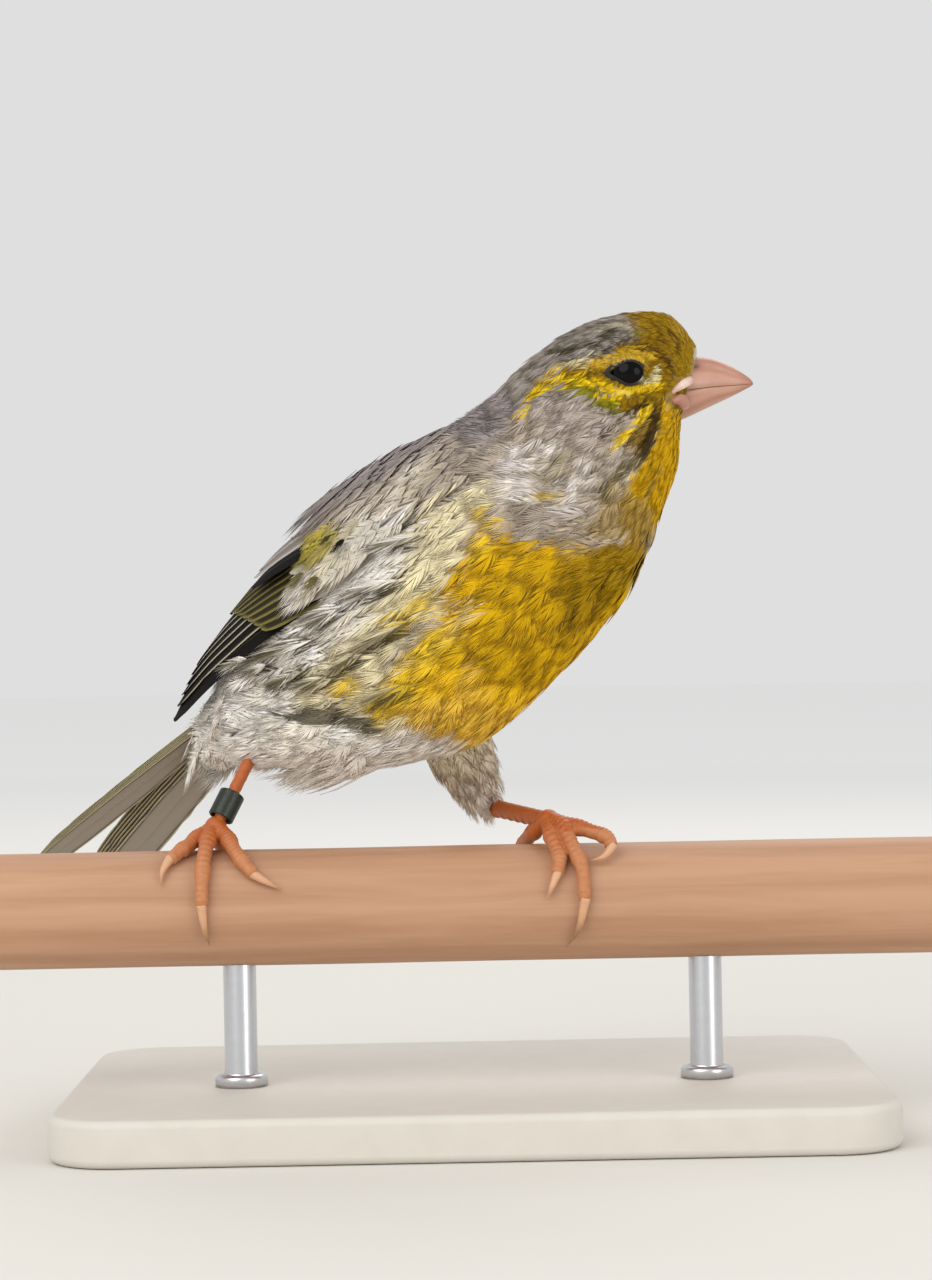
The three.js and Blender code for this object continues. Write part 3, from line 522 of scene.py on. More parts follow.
def places_of(owner):
    """Vertex places of a bmesh, or of an object's mesh."""
    vertices = owner.verts if isinstance(owner, bmesh.types.BMesh) else owner.data.vertices
    return np.array([v.co for v in vertices])


def move_to(bm, points):
    for vertex, point in zip(bm.verts, points):
        vertex.co = point


def lengthwise(bm):
    """Edges of a unit tube or taper that run along it."""
    return [e for e in bm.edges if abs(e.verts[0].co.z - e.verts[1].co.z) > 0.5]


def arrays_of(bm):
    """Vertex places and triangles of a bmesh, which is then freed."""
    bmesh.ops.triangulate(bm, faces=bm.faces)
    bm.verts.index_update()
    points = places_of(bm)
    faces = np.array([[v.index for v in f.verts] for f in bm.faces])
    bm.free()
    return points, faces


def object_of(name, mesh):
    piece = bpy.data.objects.new(name, mesh)
    bpy.context.scene.collection.objects.link(piece)
    return piece


def object_from_bmesh(name, bm, smooth_faces=True):
    mesh = bpy.data.meshes.new(name)
    for face in bm.faces:
        face.smooth = smooth_faces
    bm.to_mesh(mesh)
    bm.free()
    return object_of(name, mesh)


def object_from_arrays(name, points, faces):
    """One mesh of many small closed forms, from arrays of vertex places and triangles."""
    mesh = bpy.data.meshes.new(name)
    mesh.vertices.add(len(points))
    mesh.vertices.foreach_set("co", points.astype(np.float32).ravel())
    mesh.loops.add(faces.size)
    mesh.loops.foreach_set("vertex_index", faces.astype(np.int32).ravel())
    mesh.polygons.add(len(faces))
    mesh.polygons.foreach_set("loop_start", np.arange(0, faces.size, 3, dtype=np.int32))
    mesh.polygons.foreach_set("use_smooth", np.ones(len(faces), bool))
    mesh.update(calc_edges=True)
    return object_of(name, mesh)


def paint(piece, name, colours):
    """Stores one linear colour, or any three numbers, for each vertex."""
    values = np.ones((len(piece.data.vertices), 4), np.float32)
    values[:, :3] = colours
    layer = piece.data.attributes.new(name, "FLOAT_COLOR", "POINT")
    layer.data.foreach_set("color", values.ravel())


def corner_vertices(mesh):
    """The vertex of every face corner."""
    found = np.zeros(len(mesh.loops), np.int32)
    mesh.loops.foreach_get("vertex_index", found)
    return found


def lay_map(mesh, spots):
    """The OFBake map, from a place on it for every face corner."""
    layer = mesh.uv_layers.new(name="OFBake")
    layer.data.foreach_set("uv", np.clip(spots, 0, 1).astype(np.float32).ravel())


def bake_map(piece, spots):
    lay_map(piece.data, spots[corner_vertices(piece.data)])


def settle(piece, material, replaces=()):
    """Gives a piece its material, body, slot and the nodes that it stands for."""
    piece.data.materials.append(material)
    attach(piece, BODY)
    if replaces:
        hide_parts(*replaces)
    return piece


def tube(sides, steps, place):
    """A closed tube: place turns arrays of turn, along and reach, each 0 to 1, into points. Reach is 0
    at the middle of the two ends and 1 on the wall."""
    bm = bmesh.new()
    bmesh.ops.create_cone(bm, cap_ends=True, cap_tris=True, segments=sides, radius1=1, radius2=1, depth=1)
    bmesh.ops.subdivide_edges(bm, edges=lengthwise(bm), cuts=steps - 1, use_grid_fill=True)
    local = places_of(bm)
    turn = (np.round(np.arctan2(local[:, 0], local[:, 1]) / (2 * math.pi) * sides) % sides) / sides
    along = np.round((local[:, 2] + 0.5) * steps) / steps
    reach = (np.hypot(local[:, 0], local[:, 1]) > 0.5).astype(float)
    move_to(bm, place(turn, along, reach))
    bmesh.ops.recalc_face_normals(bm, faces=bm.faces)
    return bm


def sphere(radius, centre, segments):
    bm = bmesh.new()
    rows = segments * 2 // 3
    bmesh.ops.create_uvsphere(bm, u_segments=segments, v_segments=rows, radius=radius)
    bmesh.ops.translate(bm, vec=Vector(centre), verts=bm.verts)
    return bm


def line_at(points, share):
    """Points of a smooth line through the given ones, at shares of its number of points."""
    points = np.asarray(points, float)
    last = len(points) - 1
    number = np.clip(np.asarray(share, float), 0, 1) * last
    low = np.clip(np.floor(number).astype(int), 0, last - 1)
    share = (number - low)[..., None]
    b, c = points[low], points[low + 1]
    a = np.where((low > 0)[..., None], points[np.maximum(low - 1, 0)], 2 * b - c)
    d = np.where((low < last - 1)[..., None], points[np.minimum(low + 2, last)], 2 * c - b)
    return curve(a, b, c, d, share)


def limb(points, sides, steps, radius):
    """A round tube along a line: radius gives metres from along and the outward direction."""
    points = np.asarray(points, float)
    stations = np.linspace(0, 1, steps + 1)
    line = line_at(points, stations)
    ahead = unit(np.gradient(line, axis=0))
    normals = [unit(np.cross(ahead[0], (0.3, 0.2, 0.93)))]
    for direction in ahead[1:]:
        normals.append(unit(normals[-1] - direction * (normals[-1] @ direction)))
    normals = np.array(normals)
    binormals = np.cross(ahead, normals)

    def place(turn, along, reach):
        index = np.round(along * steps).astype(int)
        angle = (turn * 2 * math.pi)[:, None]
        out = normals[index] * np.cos(angle) + binormals[index] * np.sin(angle)
        return line[index] + out * (radius(along, out) * reach)[:, None]

    return tube(sides, steps, place)


def lathe(profile, steps, centre, axis):
    """A closed ring or rod from a closed profile of (radius, along) turned round an axis."""
    bm = bmesh.new()
    spots = [bm.verts.new((radius, 0, along)) for radius, along in profile]
    edges = [bm.edges.new((spots[i - 1], spots[i])) for i in range(len(spots))]
    bmesh.ops.spin(
        bm, geom=spots + edges, cent=(0, 0, 0), axis=(0, 0, 1), angle=2 * math.pi, steps=steps,
        use_merge=True)
    bmesh.ops.remove_doubles(bm, verts=bm.verts, dist=1e-7)
    bmesh.ops.recalc_face_normals(bm, faces=bm.faces)
    turn = Vector((0, 0, 1)).rotation_difference(Vector(axis)).to_matrix().to_4x4()
    turn.translation = Vector(centre)
    bmesh.ops.transform(bm, matrix=turn, verts=bm.verts)
    return bm


def remeshed(name, pieces, voxel, rounds):
    """One closed skin from overlapping closed forms, smoothed a few times."""
    whole = bmesh.new()
    for bm in pieces:
        mesh = bpy.data.meshes.new("part")
        bm.to_mesh(mesh)
        bm.free()
        whole.from_mesh(mesh)
        bpy.data.meshes.remove(mesh)
    piece = object_from_bmesh(name, whole)
    grid = piece.modifiers.new("join", "REMESH")
    grid.mode = "VOXEL"
    grid.voxel_size = voxel
    grid.use_smooth_shade = True
    solved = piece.evaluated_get(bpy.context.evaluated_depsgraph_get())
    made = bpy.data.meshes.new_from_object(solved)
    bpy.data.objects.remove(piece)
    bm = bmesh.new()
    bm.from_mesh(made)
    bpy.data.meshes.remove(made)
    for _ in range(rounds):
        bmesh.ops.smooth_vert(
            bm, verts=bm.verts, factor=0.5, use_axis_x=True, use_axis_y=True, use_axis_z=True)
    return object_from_bmesh(name, bm)


# Materials


def add(tree, kind, inputs=None, **settings):
    """A node of a material. Each of its inputs is given a value, or the output that feeds it."""
    node = tree.nodes.new(kind)
    for name, value in settings.items():
        setattr(node, name, value)
    for name, value in (inputs or {}).items():
        feed(tree, node.inputs[name], value)
    return node


def feed(tree, socket, value):
    if isinstance(value, bpy.types.NodeSocket):
        tree.links.new(value, socket)
    else:
        socket.default_value = value


def new_material(name, roughness, **sockets):
    material = bpy.data.materials.new(name)
    material.use_nodes = True
    tree = material.node_tree
    shader = tree.nodes["Principled BSDF"]
    for socket, value in {"Roughness": roughness, **sockets}.items():
        shader.inputs[socket.replace("_", " ")].default_value = value
    return material, tree, shader


def object_places(tree):
    return add(tree, "ShaderNodeTexCoord").outputs["Object"]


def relief(tree, shader, height, strength, distance):
    node = add(tree, "ShaderNodeBump", {"Strength": strength, "Distance": distance, "Height": height})
    feed(tree, shader.inputs["Normal"], node.outputs["Normal"])


def scaled_by(tree, colour, pattern, low, high):
    """A colour made darker and lighter by a pattern from 0 to 1."""
    spread = add(tree, "ShaderNodeMapRange", {"Value": pattern, "To Min": low, "To Max": high})
    inputs = {0: colour, "Scale": spread.outputs["Result"]}
    return add(tree, "ShaderNodeVectorMath", inputs, operation="SCALE").outputs["Vector"]


def mottled(tree, shader, colour, scale, amount):
    """The shader's colour, made a little lighter and darker by fine noise."""
    noise = add(tree, "ShaderNodeTexNoise", {"Vector": object_places(tree), "Scale": scale, "Detail": 3.0})
    grain = noise.outputs["Fac"]
    feed(tree, shader.inputs["Base Color"], scaled_by(tree, colour, grain, 1 - amount, 1 + amount))
    return grain


def attribute(tree, name):
    return add(tree, "ShaderNodeAttribute", attribute_name=name).outputs["Color"]


def painted_material(name, scale, amount, roughness, depth, strength=0.3, layer="tint", **sockets):
    """Colours from the mesh's own layer, with fine mottling and relief."""
    material, tree, shader = new_material(name, roughness, **sockets)
    grain = mottled(tree, shader, attribute(tree, layer), scale, amount)
    relief(tree, shader, grain, strength, depth)
    return material


def plumage_material(name, scale, roughness, sheen):
    return painted_material(
        name, scale, 0.12, roughness, 0.0001, 0.15, "plumage",
        Sheen_Weight=sheen, Sheen_Roughness=0.5, Specular_IOR_Level=0.1)


def vane_material(name):
    """Stiff vanes: fine barb lines run out from the shaft towards the tip."""
    material, tree, shader = new_material(name, 0.65, Specular_IOR_Level=0.06)
    wave = add(
        tree, "ShaderNodeTexWave", {"Vector": attribute(tree, "barb"), "Scale": 1.0, "Distortion": 0.6,
                                    "Detail": 2.0, "Detail Scale": 1.5}, bands_direction="X")
    lines = wave.outputs["Fac"]
    feed(tree, shader.inputs["Base Color"], scaled_by(tree, attribute(tree, "plumage"), lines, 0.82, 1.12))
    relief(tree, shader, lines, 0.35, 0.00008)
    return material


def plain_colour(tree, colour):
    node = add(tree, "ShaderNodeRGB")
    node.outputs[0].default_value = (*colour, 1)
    return node.outputs[0]


# Plumage colours


def palette(group, name, count=None):
    """A colour of a group, or as many rows of it as asked for."""
    colour = np.array(getattr(group, name))
    return colour if count is None else np.tile(colour, (count, 1))


def reach_of(points, line):
    """Least distance from each point to a line of points."""
    nearest = np.full(len(points), np.inf)
    for start, end in zip(line[:-1], line[1:]):
        step = end - start
        share = np.clip((points - start) @ step / max(step @ step, 1e-12), 0, 1)
        nearest = np.minimum(nearest, np.linalg.norm(points - start - share[:, None] * step, axis=1))
    return nearest


def ripple(number, degrees):
    """Uneven long streaks, from -1 for the darkest to 1."""
    waves = [np.sin(turns * degrees + runs * number + start) for turns, runs, start in RIPPLES]
    return np.clip(0.55 * sum(waves), -1, 1)


def markings(group, number, degrees):
    """Base colour and share of dark shaft streaks at places on the body, alike on both sides."""
    side = -np.abs((degrees + 180) % 360 - 180)
    points = skin(number, side)
    colour = palette(group, "collar_lilac", len(points))
    streak = np.full(len(points), 0.12)
    for name, path, wide, soft, strength, *streaks in MARKS:
        bent = line_at(path, np.linspace(0, 1, 3 * len(path)))
        line = skin(bent[:, 0], -bent[:, 1])
        away = reach_of(points, line) / MM
        mask = strength * (1 - smooth(wide - soft / 2, wide + soft / 2, away))
        colour = toward(colour, palette(group, name), mask)
        streak += mask * (sum(streaks) - streak)
    uneven = np.interp(number, (0, 4.2, 4.8, 5.6, 6.3, 8.0, 9.0), (0.1, 0.12, 0.07, 0.08, 0.2, 0.16, 0.14))
    return colour * (1 + (uneven * ripple(number, side))[:, None] * (0.9, 1.0, 1.3)), streak


# Feathers


def blade():
    """A three-sided taper of two lengths, as side, station and triangles."""
    bm = bmesh.new()
    bmesh.ops.create_cone(bm, cap_ends=True, segments=3, radius1=1, radius2=0, depth=2)
    bmesh.ops.subdivide_edges(bm, edges=lengthwise(bm), cuts=1)
    bmesh.ops.remove_doubles(bm, verts=bm.verts, dist=1e-6)
    bmesh.ops.recalc_face_normals(bm, faces=bm.faces)
    points, faces = arrays_of(bm)
    return np.round(points[:, 2] + 1).astype(int), unit(points * (1, 1, 0)), faces


BLADE_STATION, BLADE_OUT, BLADE_FACES = blade()


def plume(rng, barbs, width, ragged):
    """A soft feather one long and two wide: tapering barb tufts from a shaft, as points and triangles,
    with each vertex's tuft number and each tuft's tip."""
    tips = []
    for side in (-1, 1):
        for angle in np.linspace(rad(128), rad(12), barbs):
            reach = 1 + ragged * rng.uniform(-1, 0.4)
            tip_y = (0.56 + 0.44 * math.cos(angle)) * (1 + ragged * rng.uniform(-0.5, 0.3))
            tips.append((side * math.sin(angle) * reach, tip_y))
    tips.append((0, 1.0))
    tips.append((0, 0.72))
    points, tufts = [], []
    for number, (tip_x, tip_y) in enumerate(tips):
        root = np.array([0, max(0.0, tip_y * 0.66 - 0.24), 0])
        tip = np.array([tip_x, tip_y, rng.uniform(-0.02, 0.02)])
        middle = (root + tip) / 2 + np.array([tip_x * 0.14, -0.02, 0.012])
        line = np.array([root, middle, tip])
        across = unit(np.cross(tip - root, (0, 0, 1)))
        girth = np.array([0.9, 1.0, 0.0]) * width
        line_here = line[BLADE_STATION]
        wide = girth[BLADE_STATION][:, None]
        rise = BLADE_OUT[:, 1:2] * wide * 0.35 * np.array([0, 0, 1])
        points.append(line_here + across * BLADE_OUT[:, 0:1] * wide + rise)
        tufts.append(np.full(len(BLADE_STATION), number))
    faces = np.concatenate([BLADE_FACES + i * len(BLADE_STATION) for i in range(len(tips))])
    return np.concatenate(points), faces, np.concatenate(tufts), np.array(tips)


def at_roots(size, number, degrees):
    """A size of feathers at their roots: a plain one, or worked out for each place."""
    return size(number, degrees) if callable(size) else size


def scatter(rng, tries, spacing, keep):
    """Roots over the body, no two closer than the spacing there: section numbers and degrees."""
    number = rng.uniform(0.08, LAST - 0.06, tries)
    degrees = rng.uniform(-180, 180, tries)
    gap = 0 * number + at_roots(spacing, number, np.abs(degrees)) * MM
    _, _, along, around = skin_frame(number, degrees)
    wanted = along * around / gap**2
    chosen = (rng.random(tries) < wanted / wanted.max()) & keep(number, np.abs(degrees))
    number, degrees, gap = number[chosen], degrees[chosen], gap[chosen]
    kept = thinned(skin(number, degrees), gap)
    return number[kept], degrees[kept]


def tree_of(points):
    tree = kdtree.KDTree(len(points))
    for index, point in enumerate(points):
        tree.insert(point, index)
    tree.balance()
    return tree


def thinned(points, gap):
    """Which points stay when each drops the later ones closer than its gap."""
    tree = tree_of(points)
    gone = np.zeros(len(points), bool)
    for index, point in enumerate(points):
        if not gone[index]:
            for _, other, _ in tree.find_range(point, gap[index]):
                gone[other] |= other > index
    return ~gone


def coat_size(number, name):
    """A size of the coat at section numbers."""
    return np.interp(number, COAT["number"], COAT[name])


def skin_depth(number):
    return -coat_size(number, "depth") * MM


def under_wing(number, around):
    """Where a folded wing hides the coat."""
    outer = np.interp(number, *zip(*WING_OUTER))
    inner = np.interp(number, *zip(*WING_INNER))
    inside = (around < outer - 7) & (around > inner + 6)
    return inside & (number > 1.2) & (number < 5.0)


def eye_offset(points, side):
    """Places across the eye's opening, forward and up from its centre, in millimetres."""
    rotation, centre = POSES["head"]
    local = (points - centre) @ rotation / MM
    near = local[:, 1] * side > 2
    return local[:, 0] - EYE["at"], local[:, 2] - EYE["rise"], near


def eye_share(forward, up, wider=0.0, taller=0.0):
    """How far out places lie from the eye's centre: 1 is on the edge of its opening, grown by these."""
    long = np.where(forward > 0, EYE["front"], EYE["rear"]) + wider
    return np.hypot(forward / long, up / (EYE["tall"] + taller))


def bend_of(point, normal, direction, length):
    """How far the body falls away below a straight feather, for each metre squared."""
    number, degrees, along, around, ahead, left = direction
    far_number = number + (ahead * length) / along
    far_degrees = degrees + (left * length) / around
    far = skin(np.clip(far_number, 0, LAST), far_degrees, skin_depth(number))
    fall = -((far - point) * normal).sum(-1)
    return np.clip(2 * fall / length**2, 0, 160)


def roots_on_skin(rng, number, degrees, sizes):
    """Everything that a feather needs at each root: place, frame, size and bend. Its sizes are its lift
    off the skin, swing, jitter of that, length, half-width and rise, each a number or a function."""
    normal, ahead, along, around = skin_frame(number, degrees)
    count = len(number)

    def size(name):
        return at_roots(sizes.get(name, 0), number, degrees if name == "swing" else np.abs(degrees))

    point = skin(number, degrees, size("lift") * MM + skin_depth(number))
    left = np.cross(normal, ahead)
    swing = np.radians(size("swing") + rng.normal(0, sizes["jitter"], count))
    lie = -ahead * np.cos(swing)[:, None] + left * np.sin(swing)[:, None]
    length = size("length") * rng.uniform(0.88, 1.12, count) * MM
    half = size("half") * rng.uniform(0.9, 1.1, count) * MM
    rotation, head_centre = POSES["head"]
    for side in (-1, 1):
        forward, up, near = eye_offset(point, side)
        away = np.hypot(forward, up) + 1e-9
        over = np.sqrt(np.maximum(EYE["radius"] ** 2 - away**2, 0))
        rim = near & (away < EYE_COAT["raised"])
        ball = np.stack([forward, side * over, up], -1) @ rotation.T / EYE["radius"]
        normal = np.where(rim[:, None], unit(0.3 * normal + 0.7 * ball), normal)
        height = side * ((point - head_centre) @ rotation[:, 1]) / MM
        raised = np.where(rim, np.maximum(EYE["out"] + over + 0.1 - height, 0), 0)
        point = point + (side * raised * MM)[:, None] * rotation[:, 1]
        out = (forward / away)[:, None] * rotation[:, 0] + (up / away)[:, None] * rotation[:, 2]
        fading = np.exp(-np.maximum(away - EYE_COAT["push_from"], 0) / EYE_COAT["push_fade"])
        lie = lie + np.where(near, EYE_COAT["push"] * fading, 0)[:, None] * out
        short, narrow = near & (away < EYE_COAT["short"]), near & (away < EYE_COAT["narrow"])
        length = np.where(short, np.minimum(length, (0.35 + 0.45 * away) * MM), length)
        half = np.where(narrow, np.minimum(half, (0.14 + 0.17 * away) * MM), half)
    lie = flattened(lie, normal)
    direction = (number, degrees, along, around, (lie * ahead).sum(-1), (lie * left).sum(-1))
    rise = np.radians(size("rise") + rng.normal(0, 2.0, count))
    flat = skin(number, degrees, skin_depth(number))
    bend = bend_of(flat, normal, direction, length)
    across = np.cross(lie, normal)
    return {
        "point": point, "normal": normal, "lie": lie, "length": length, "rise": rise, "bend": bend,
        "half": half, "number": number, "degrees": degrees, "spot": body_spot(number, degrees),
        "lengthwise": np.stack([(lie * ahead).sum(-1) / along, (lie * left).sum(-1) / around], -1),
        "crosswise": np.stack([(across * ahead).sum(-1) / along, (across * left).sum(-1) / around], -1),
    }


def tuft_colours(group, roots, tips, rng):
    """Colour and shaft streak of every tuft, from the markings where its tip lies."""
    shift = rng.normal(0, 0.05, (len(roots["number"]), len(tips), 2)) * roots["length"][:, None, None]
    down = 0.9 * tips[None, :, 1] * roots["length"][:, None] + shift[..., 0]
    over = tips[None, :, 0] * roots["half"][:, None] + shift[..., 1]
    step = down[..., None] * roots["lengthwise"][:, None] + over[..., None] * roots["crosswise"][:, None]
    number = np.clip(roots["number"][:, None] + step[..., 0], 0, LAST)
    degrees = roots["degrees"][:, None] + step[..., 1]
    colour, streak = markings(group, number.ravel(), degrees.ravel())
    return colour.reshape(number.shape + (3,)), streak.reshape(number.shape).mean(axis=1)


def plant(name, rng, roots, templates, group, stripe_width=0.3):
    """One mesh of feathers at the given roots, coloured by the body's markings or their own colour."""
    kinds = rng.integers(0, len(templates), len(roots["point"]))
    meshes = []
    total = 0
    for kind, (shape, faces, tufts, tips) in enumerate(templates):
        here = part_of(roots, np.flatnonzero(kinds == kind))
        count = len(here["point"])
        if "colour" in here:
            base, streak = np.repeat(here["colour"][:, None], len(tips), axis=1), here["streak"]
        else:
            base, streak = tuft_colours(group, here, tips, rng)
            streak = here.get("streak", streak * rng.choice([0.2, 0.6, 1.0], count))
        dark = here.get("dark", palette(group, "streak_dark", count))
        base = base * rng.normal(1, 0.055, (count, 1, 1)) * rng.normal(1, 0.07, base.shape[:2] + (1,))
        length, half = here["length"][:, None], here["half"][:, None]
        across_share, along = shape[None, :, 0], shape[None, :, 1]
        x, y = across_share * half, along * length
        climb = np.tan(here["rise"][:, None]) * y * (1 - 0.35 * along)
        fall = 0.5 * here["bend"][:, None] * y**2 + 0.5 * x**2 / (12 * MM)
        z = shape[None, :, 2] * half * 1.6 + climb - fall
        normal, lie = here["normal"], here["lie"]
        across = np.cross(lie, normal)
        points = (here["point"][:, None] + across[:, None] * x[..., None]
                  + lie[:, None] * y[..., None] + normal[:, None] * z[..., None])
        stripe = bell(across_share, stripe_width) * smooth(0.12, 0.35, along)
        stripe = stripe * (1 - 0.75 * smooth(0.86, 1.0, along)) * streak[:, None]
        colour = base[:, tufts] * (0.95 + 0.09 * along)[..., None]
        colour = colour * (1 - 0.14 * (1 - smooth(0.0, 0.42, along)))[..., None]
        colour = toward(colour, dark[:, None], stripe)
        spots = here["spot"][:, None] + PATCH * (shape[None, :, :2] * (0.5, 1.0) + (0, -0.5))
        offsets = total + np.arange(count)[:, None, None] * len(shape)
        total += count * len(shape)
        meshes.append((
            points.reshape(-1, 3), (faces[None] + offsets).reshape(-1, 3),
            np.clip(colour, 0.002, 1).reshape(-1, 3),
            np.broadcast_to(spots, points.shape[:2] + (2,)).reshape(-1, 2)))
    all_points, all_faces, all_colours, all_spots = (np.concatenate(part) for part in zip(*meshes))
    piece = object_from_arrays(name, all_points, all_faces)
    paint(piece, "plumage", all_colours)
    bake_map(piece, all_spots)
    return piece


def part_of(roots, chosen):
    return {key: value[chosen] for key, value in roots.items()}


# Places on the body


def body_spot(number, degrees):
    """Place on the baking map of a place on the body."""
    return np.stack([degrees / 360 + 0.5, 0.86 * number / LAST + 0.01], -1)


def thigh_spot(index, turn, along):
    """Place on the baking map of a place on a thigh, above the body's part of the map."""
    return np.stack([0.5 * index + 0.01 + 0.48 * turn, 0.89 + 0.1 * along], -1)


def thigh_line(leg):
    return np.array(leg["thigh"]) * MM + PERCH_CENTRE


def thigh_girth(leg, along):
    """Radius of a thigh along it, round at its upper end."""
    closing = np.sqrt(1 - (1 - np.clip(along / 0.3, 0, 1)) ** 2)
    return np.interp(along, (0, 0.5, 1), leg["girth"]) * closing * MM


def thigh_frames(leg):
    """Stations down a thigh with two directions square to it."""
    stations = np.linspace(0, 1, 41)
    line = line_at(thigh_line(leg), stations)
    ahead = unit(np.gradient(line, axis=0))
    side = unit(np.cross(ahead, (0.3, 0.2, 0.93)))
    return stations, line, ahead, side, np.cross(ahead, side)


def thigh_place(leg, points):
    """Turn and share along a thigh of the nearest place for each point, and the distance off its wall."""
    stations, line, _, side, other = thigh_frames(leg)
    offset = points[:, None] - line[None]
    near = np.argmin(np.linalg.norm(offset, axis=2), axis=1)
    out = offset[np.arange(len(points)), near]
    turn = np.arctan2((out * other[near]).sum(-1), (out * side[near]).sum(-1)) / (2 * math.pi) % 1
    return turn, stations[near], np.linalg.norm(out, axis=1) - thigh_girth(leg, stations[near])


def nearest_place(points):
    """Section number, degrees and distance of the nearest place on the body for each point."""
    number, degrees = np.meshgrid(np.linspace(0, LAST, 166), np.arange(-180, 180, 4.0), indexing="ij")
    number, degrees = number.ravel(), degrees.ravel()
    surface = skin(number, degrees, skin_depth(number))
    tree = tree_of(surface)
    found = np.array([tree.find(point)[1] for point in points])
    number, degrees, offset = number[found], degrees[found], points - surface[found]
    normal, ahead, along, around = skin_frame(number, degrees)
    left = np.cross(normal, ahead)
    number = np.clip(number + (offset * ahead).sum(-1) / along, 0, LAST)
    degrees = degrees + (offset * left).sum(-1) / around
    return number, degrees, np.linalg.norm(offset, axis=1)


def skin_map(piece, points, number, degrees, away):
    """Unwraps the skin: the body by section and degrees, each thigh by itself, face by face."""
    mesh = piece.data
    corners_of = corner_vertices(mesh)
    starts = np.zeros(len(mesh.polygons), np.int32)
    mesh.polygons.foreach_get("loop_start", starts)
    faces = np.searchsorted(starts, np.arange(len(corners_of)), side="right") - 1
    owner = np.zeros(len(points), int)
    maps = [body_spot(number, degrees)]
    for index, leg in enumerate(LEGS.values()):
        turn, along, off = thigh_place(leg, points)
        maps.append(thigh_spot(index, turn, along))
        owner[(off < 0.3 * MM) & (away > 1.2 * MM)] = index + 1
    count = np.bincount(faces)
    chosen = np.round(np.bincount(faces, owner[corners_of]) / count).astype(int)[faces]
    spot = np.choose(chosen[:, None], [m[corners_of] for m in maps])
    for face_map, wide in ((0, 1.0), (1, 0.48), (2, 0.48)):
        here = chosen == face_map
        highest = np.full(len(count), -1.0)
        np.maximum.at(highest, faces[here], spot[here, 0])
        behind = here & (highest[faces] - spot[:, 0] > wide / 2)
        spot[behind, 0] += wide
    lay_map(mesh, spot)


# Skin and coat


class CanaryOperator:
    bl_options = {"REGISTER", "UNDO"}


class CANARY_OT_skin(CanaryOperator, bpy.types.Operator):
    """Add the skin under the feathers, from the tail root to the bill root and down the thighs"""

    bl_idname = "canary.skin"
    bl_label = "Skin"

    def execute(self, context):
        group = context.scene.canary_plumage

        def wall(turn, along, reach):
            number = along * LAST
            edge = skin(number, turn * 360, skin_depth(number))
            middle = (skin(number, 0.0) + skin(number, 180.0)) / 2
            return np.where(reach[:, None] > 0, edge, middle)

        def thigh_wall(leg):
            return lambda along, out: np.maximum(thigh_girth(leg, along) - 0.6 * MM, 0.05 * MM)

        pieces = [tube(96, 150, wall)]
        pieces += [limb(thigh_line(leg), 24, 24, thigh_wall(leg)) for leg in LEGS.values()]
        piece = remeshed("body_skin", pieces, group.voxel, 2)
        points = places_of(piece)
        number, degrees, away = nearest_place(points)
        colour, _ = markings(group, number, degrees)
        colour = toward(colour, palette(group, "down_white"), np.clip(away / (3 * MM), 0, 1))
        for side in (-1, 1):
            forward, up, near = eye_offset(points, side)
            colour[near & (eye_share(forward, up) < 1.3)] = palette(context.scene.canary_head, "lid")
        paint(piece, "plumage", colour * 0.85)
        skin_map(piece, points, number, degrees, away)
        settle(piece, plumage_material("down", 900, 0.9, 0.2),
               ("torso", "neck", "head", "thigh_left", "thigh_right"))
        return {"FINISHED"}


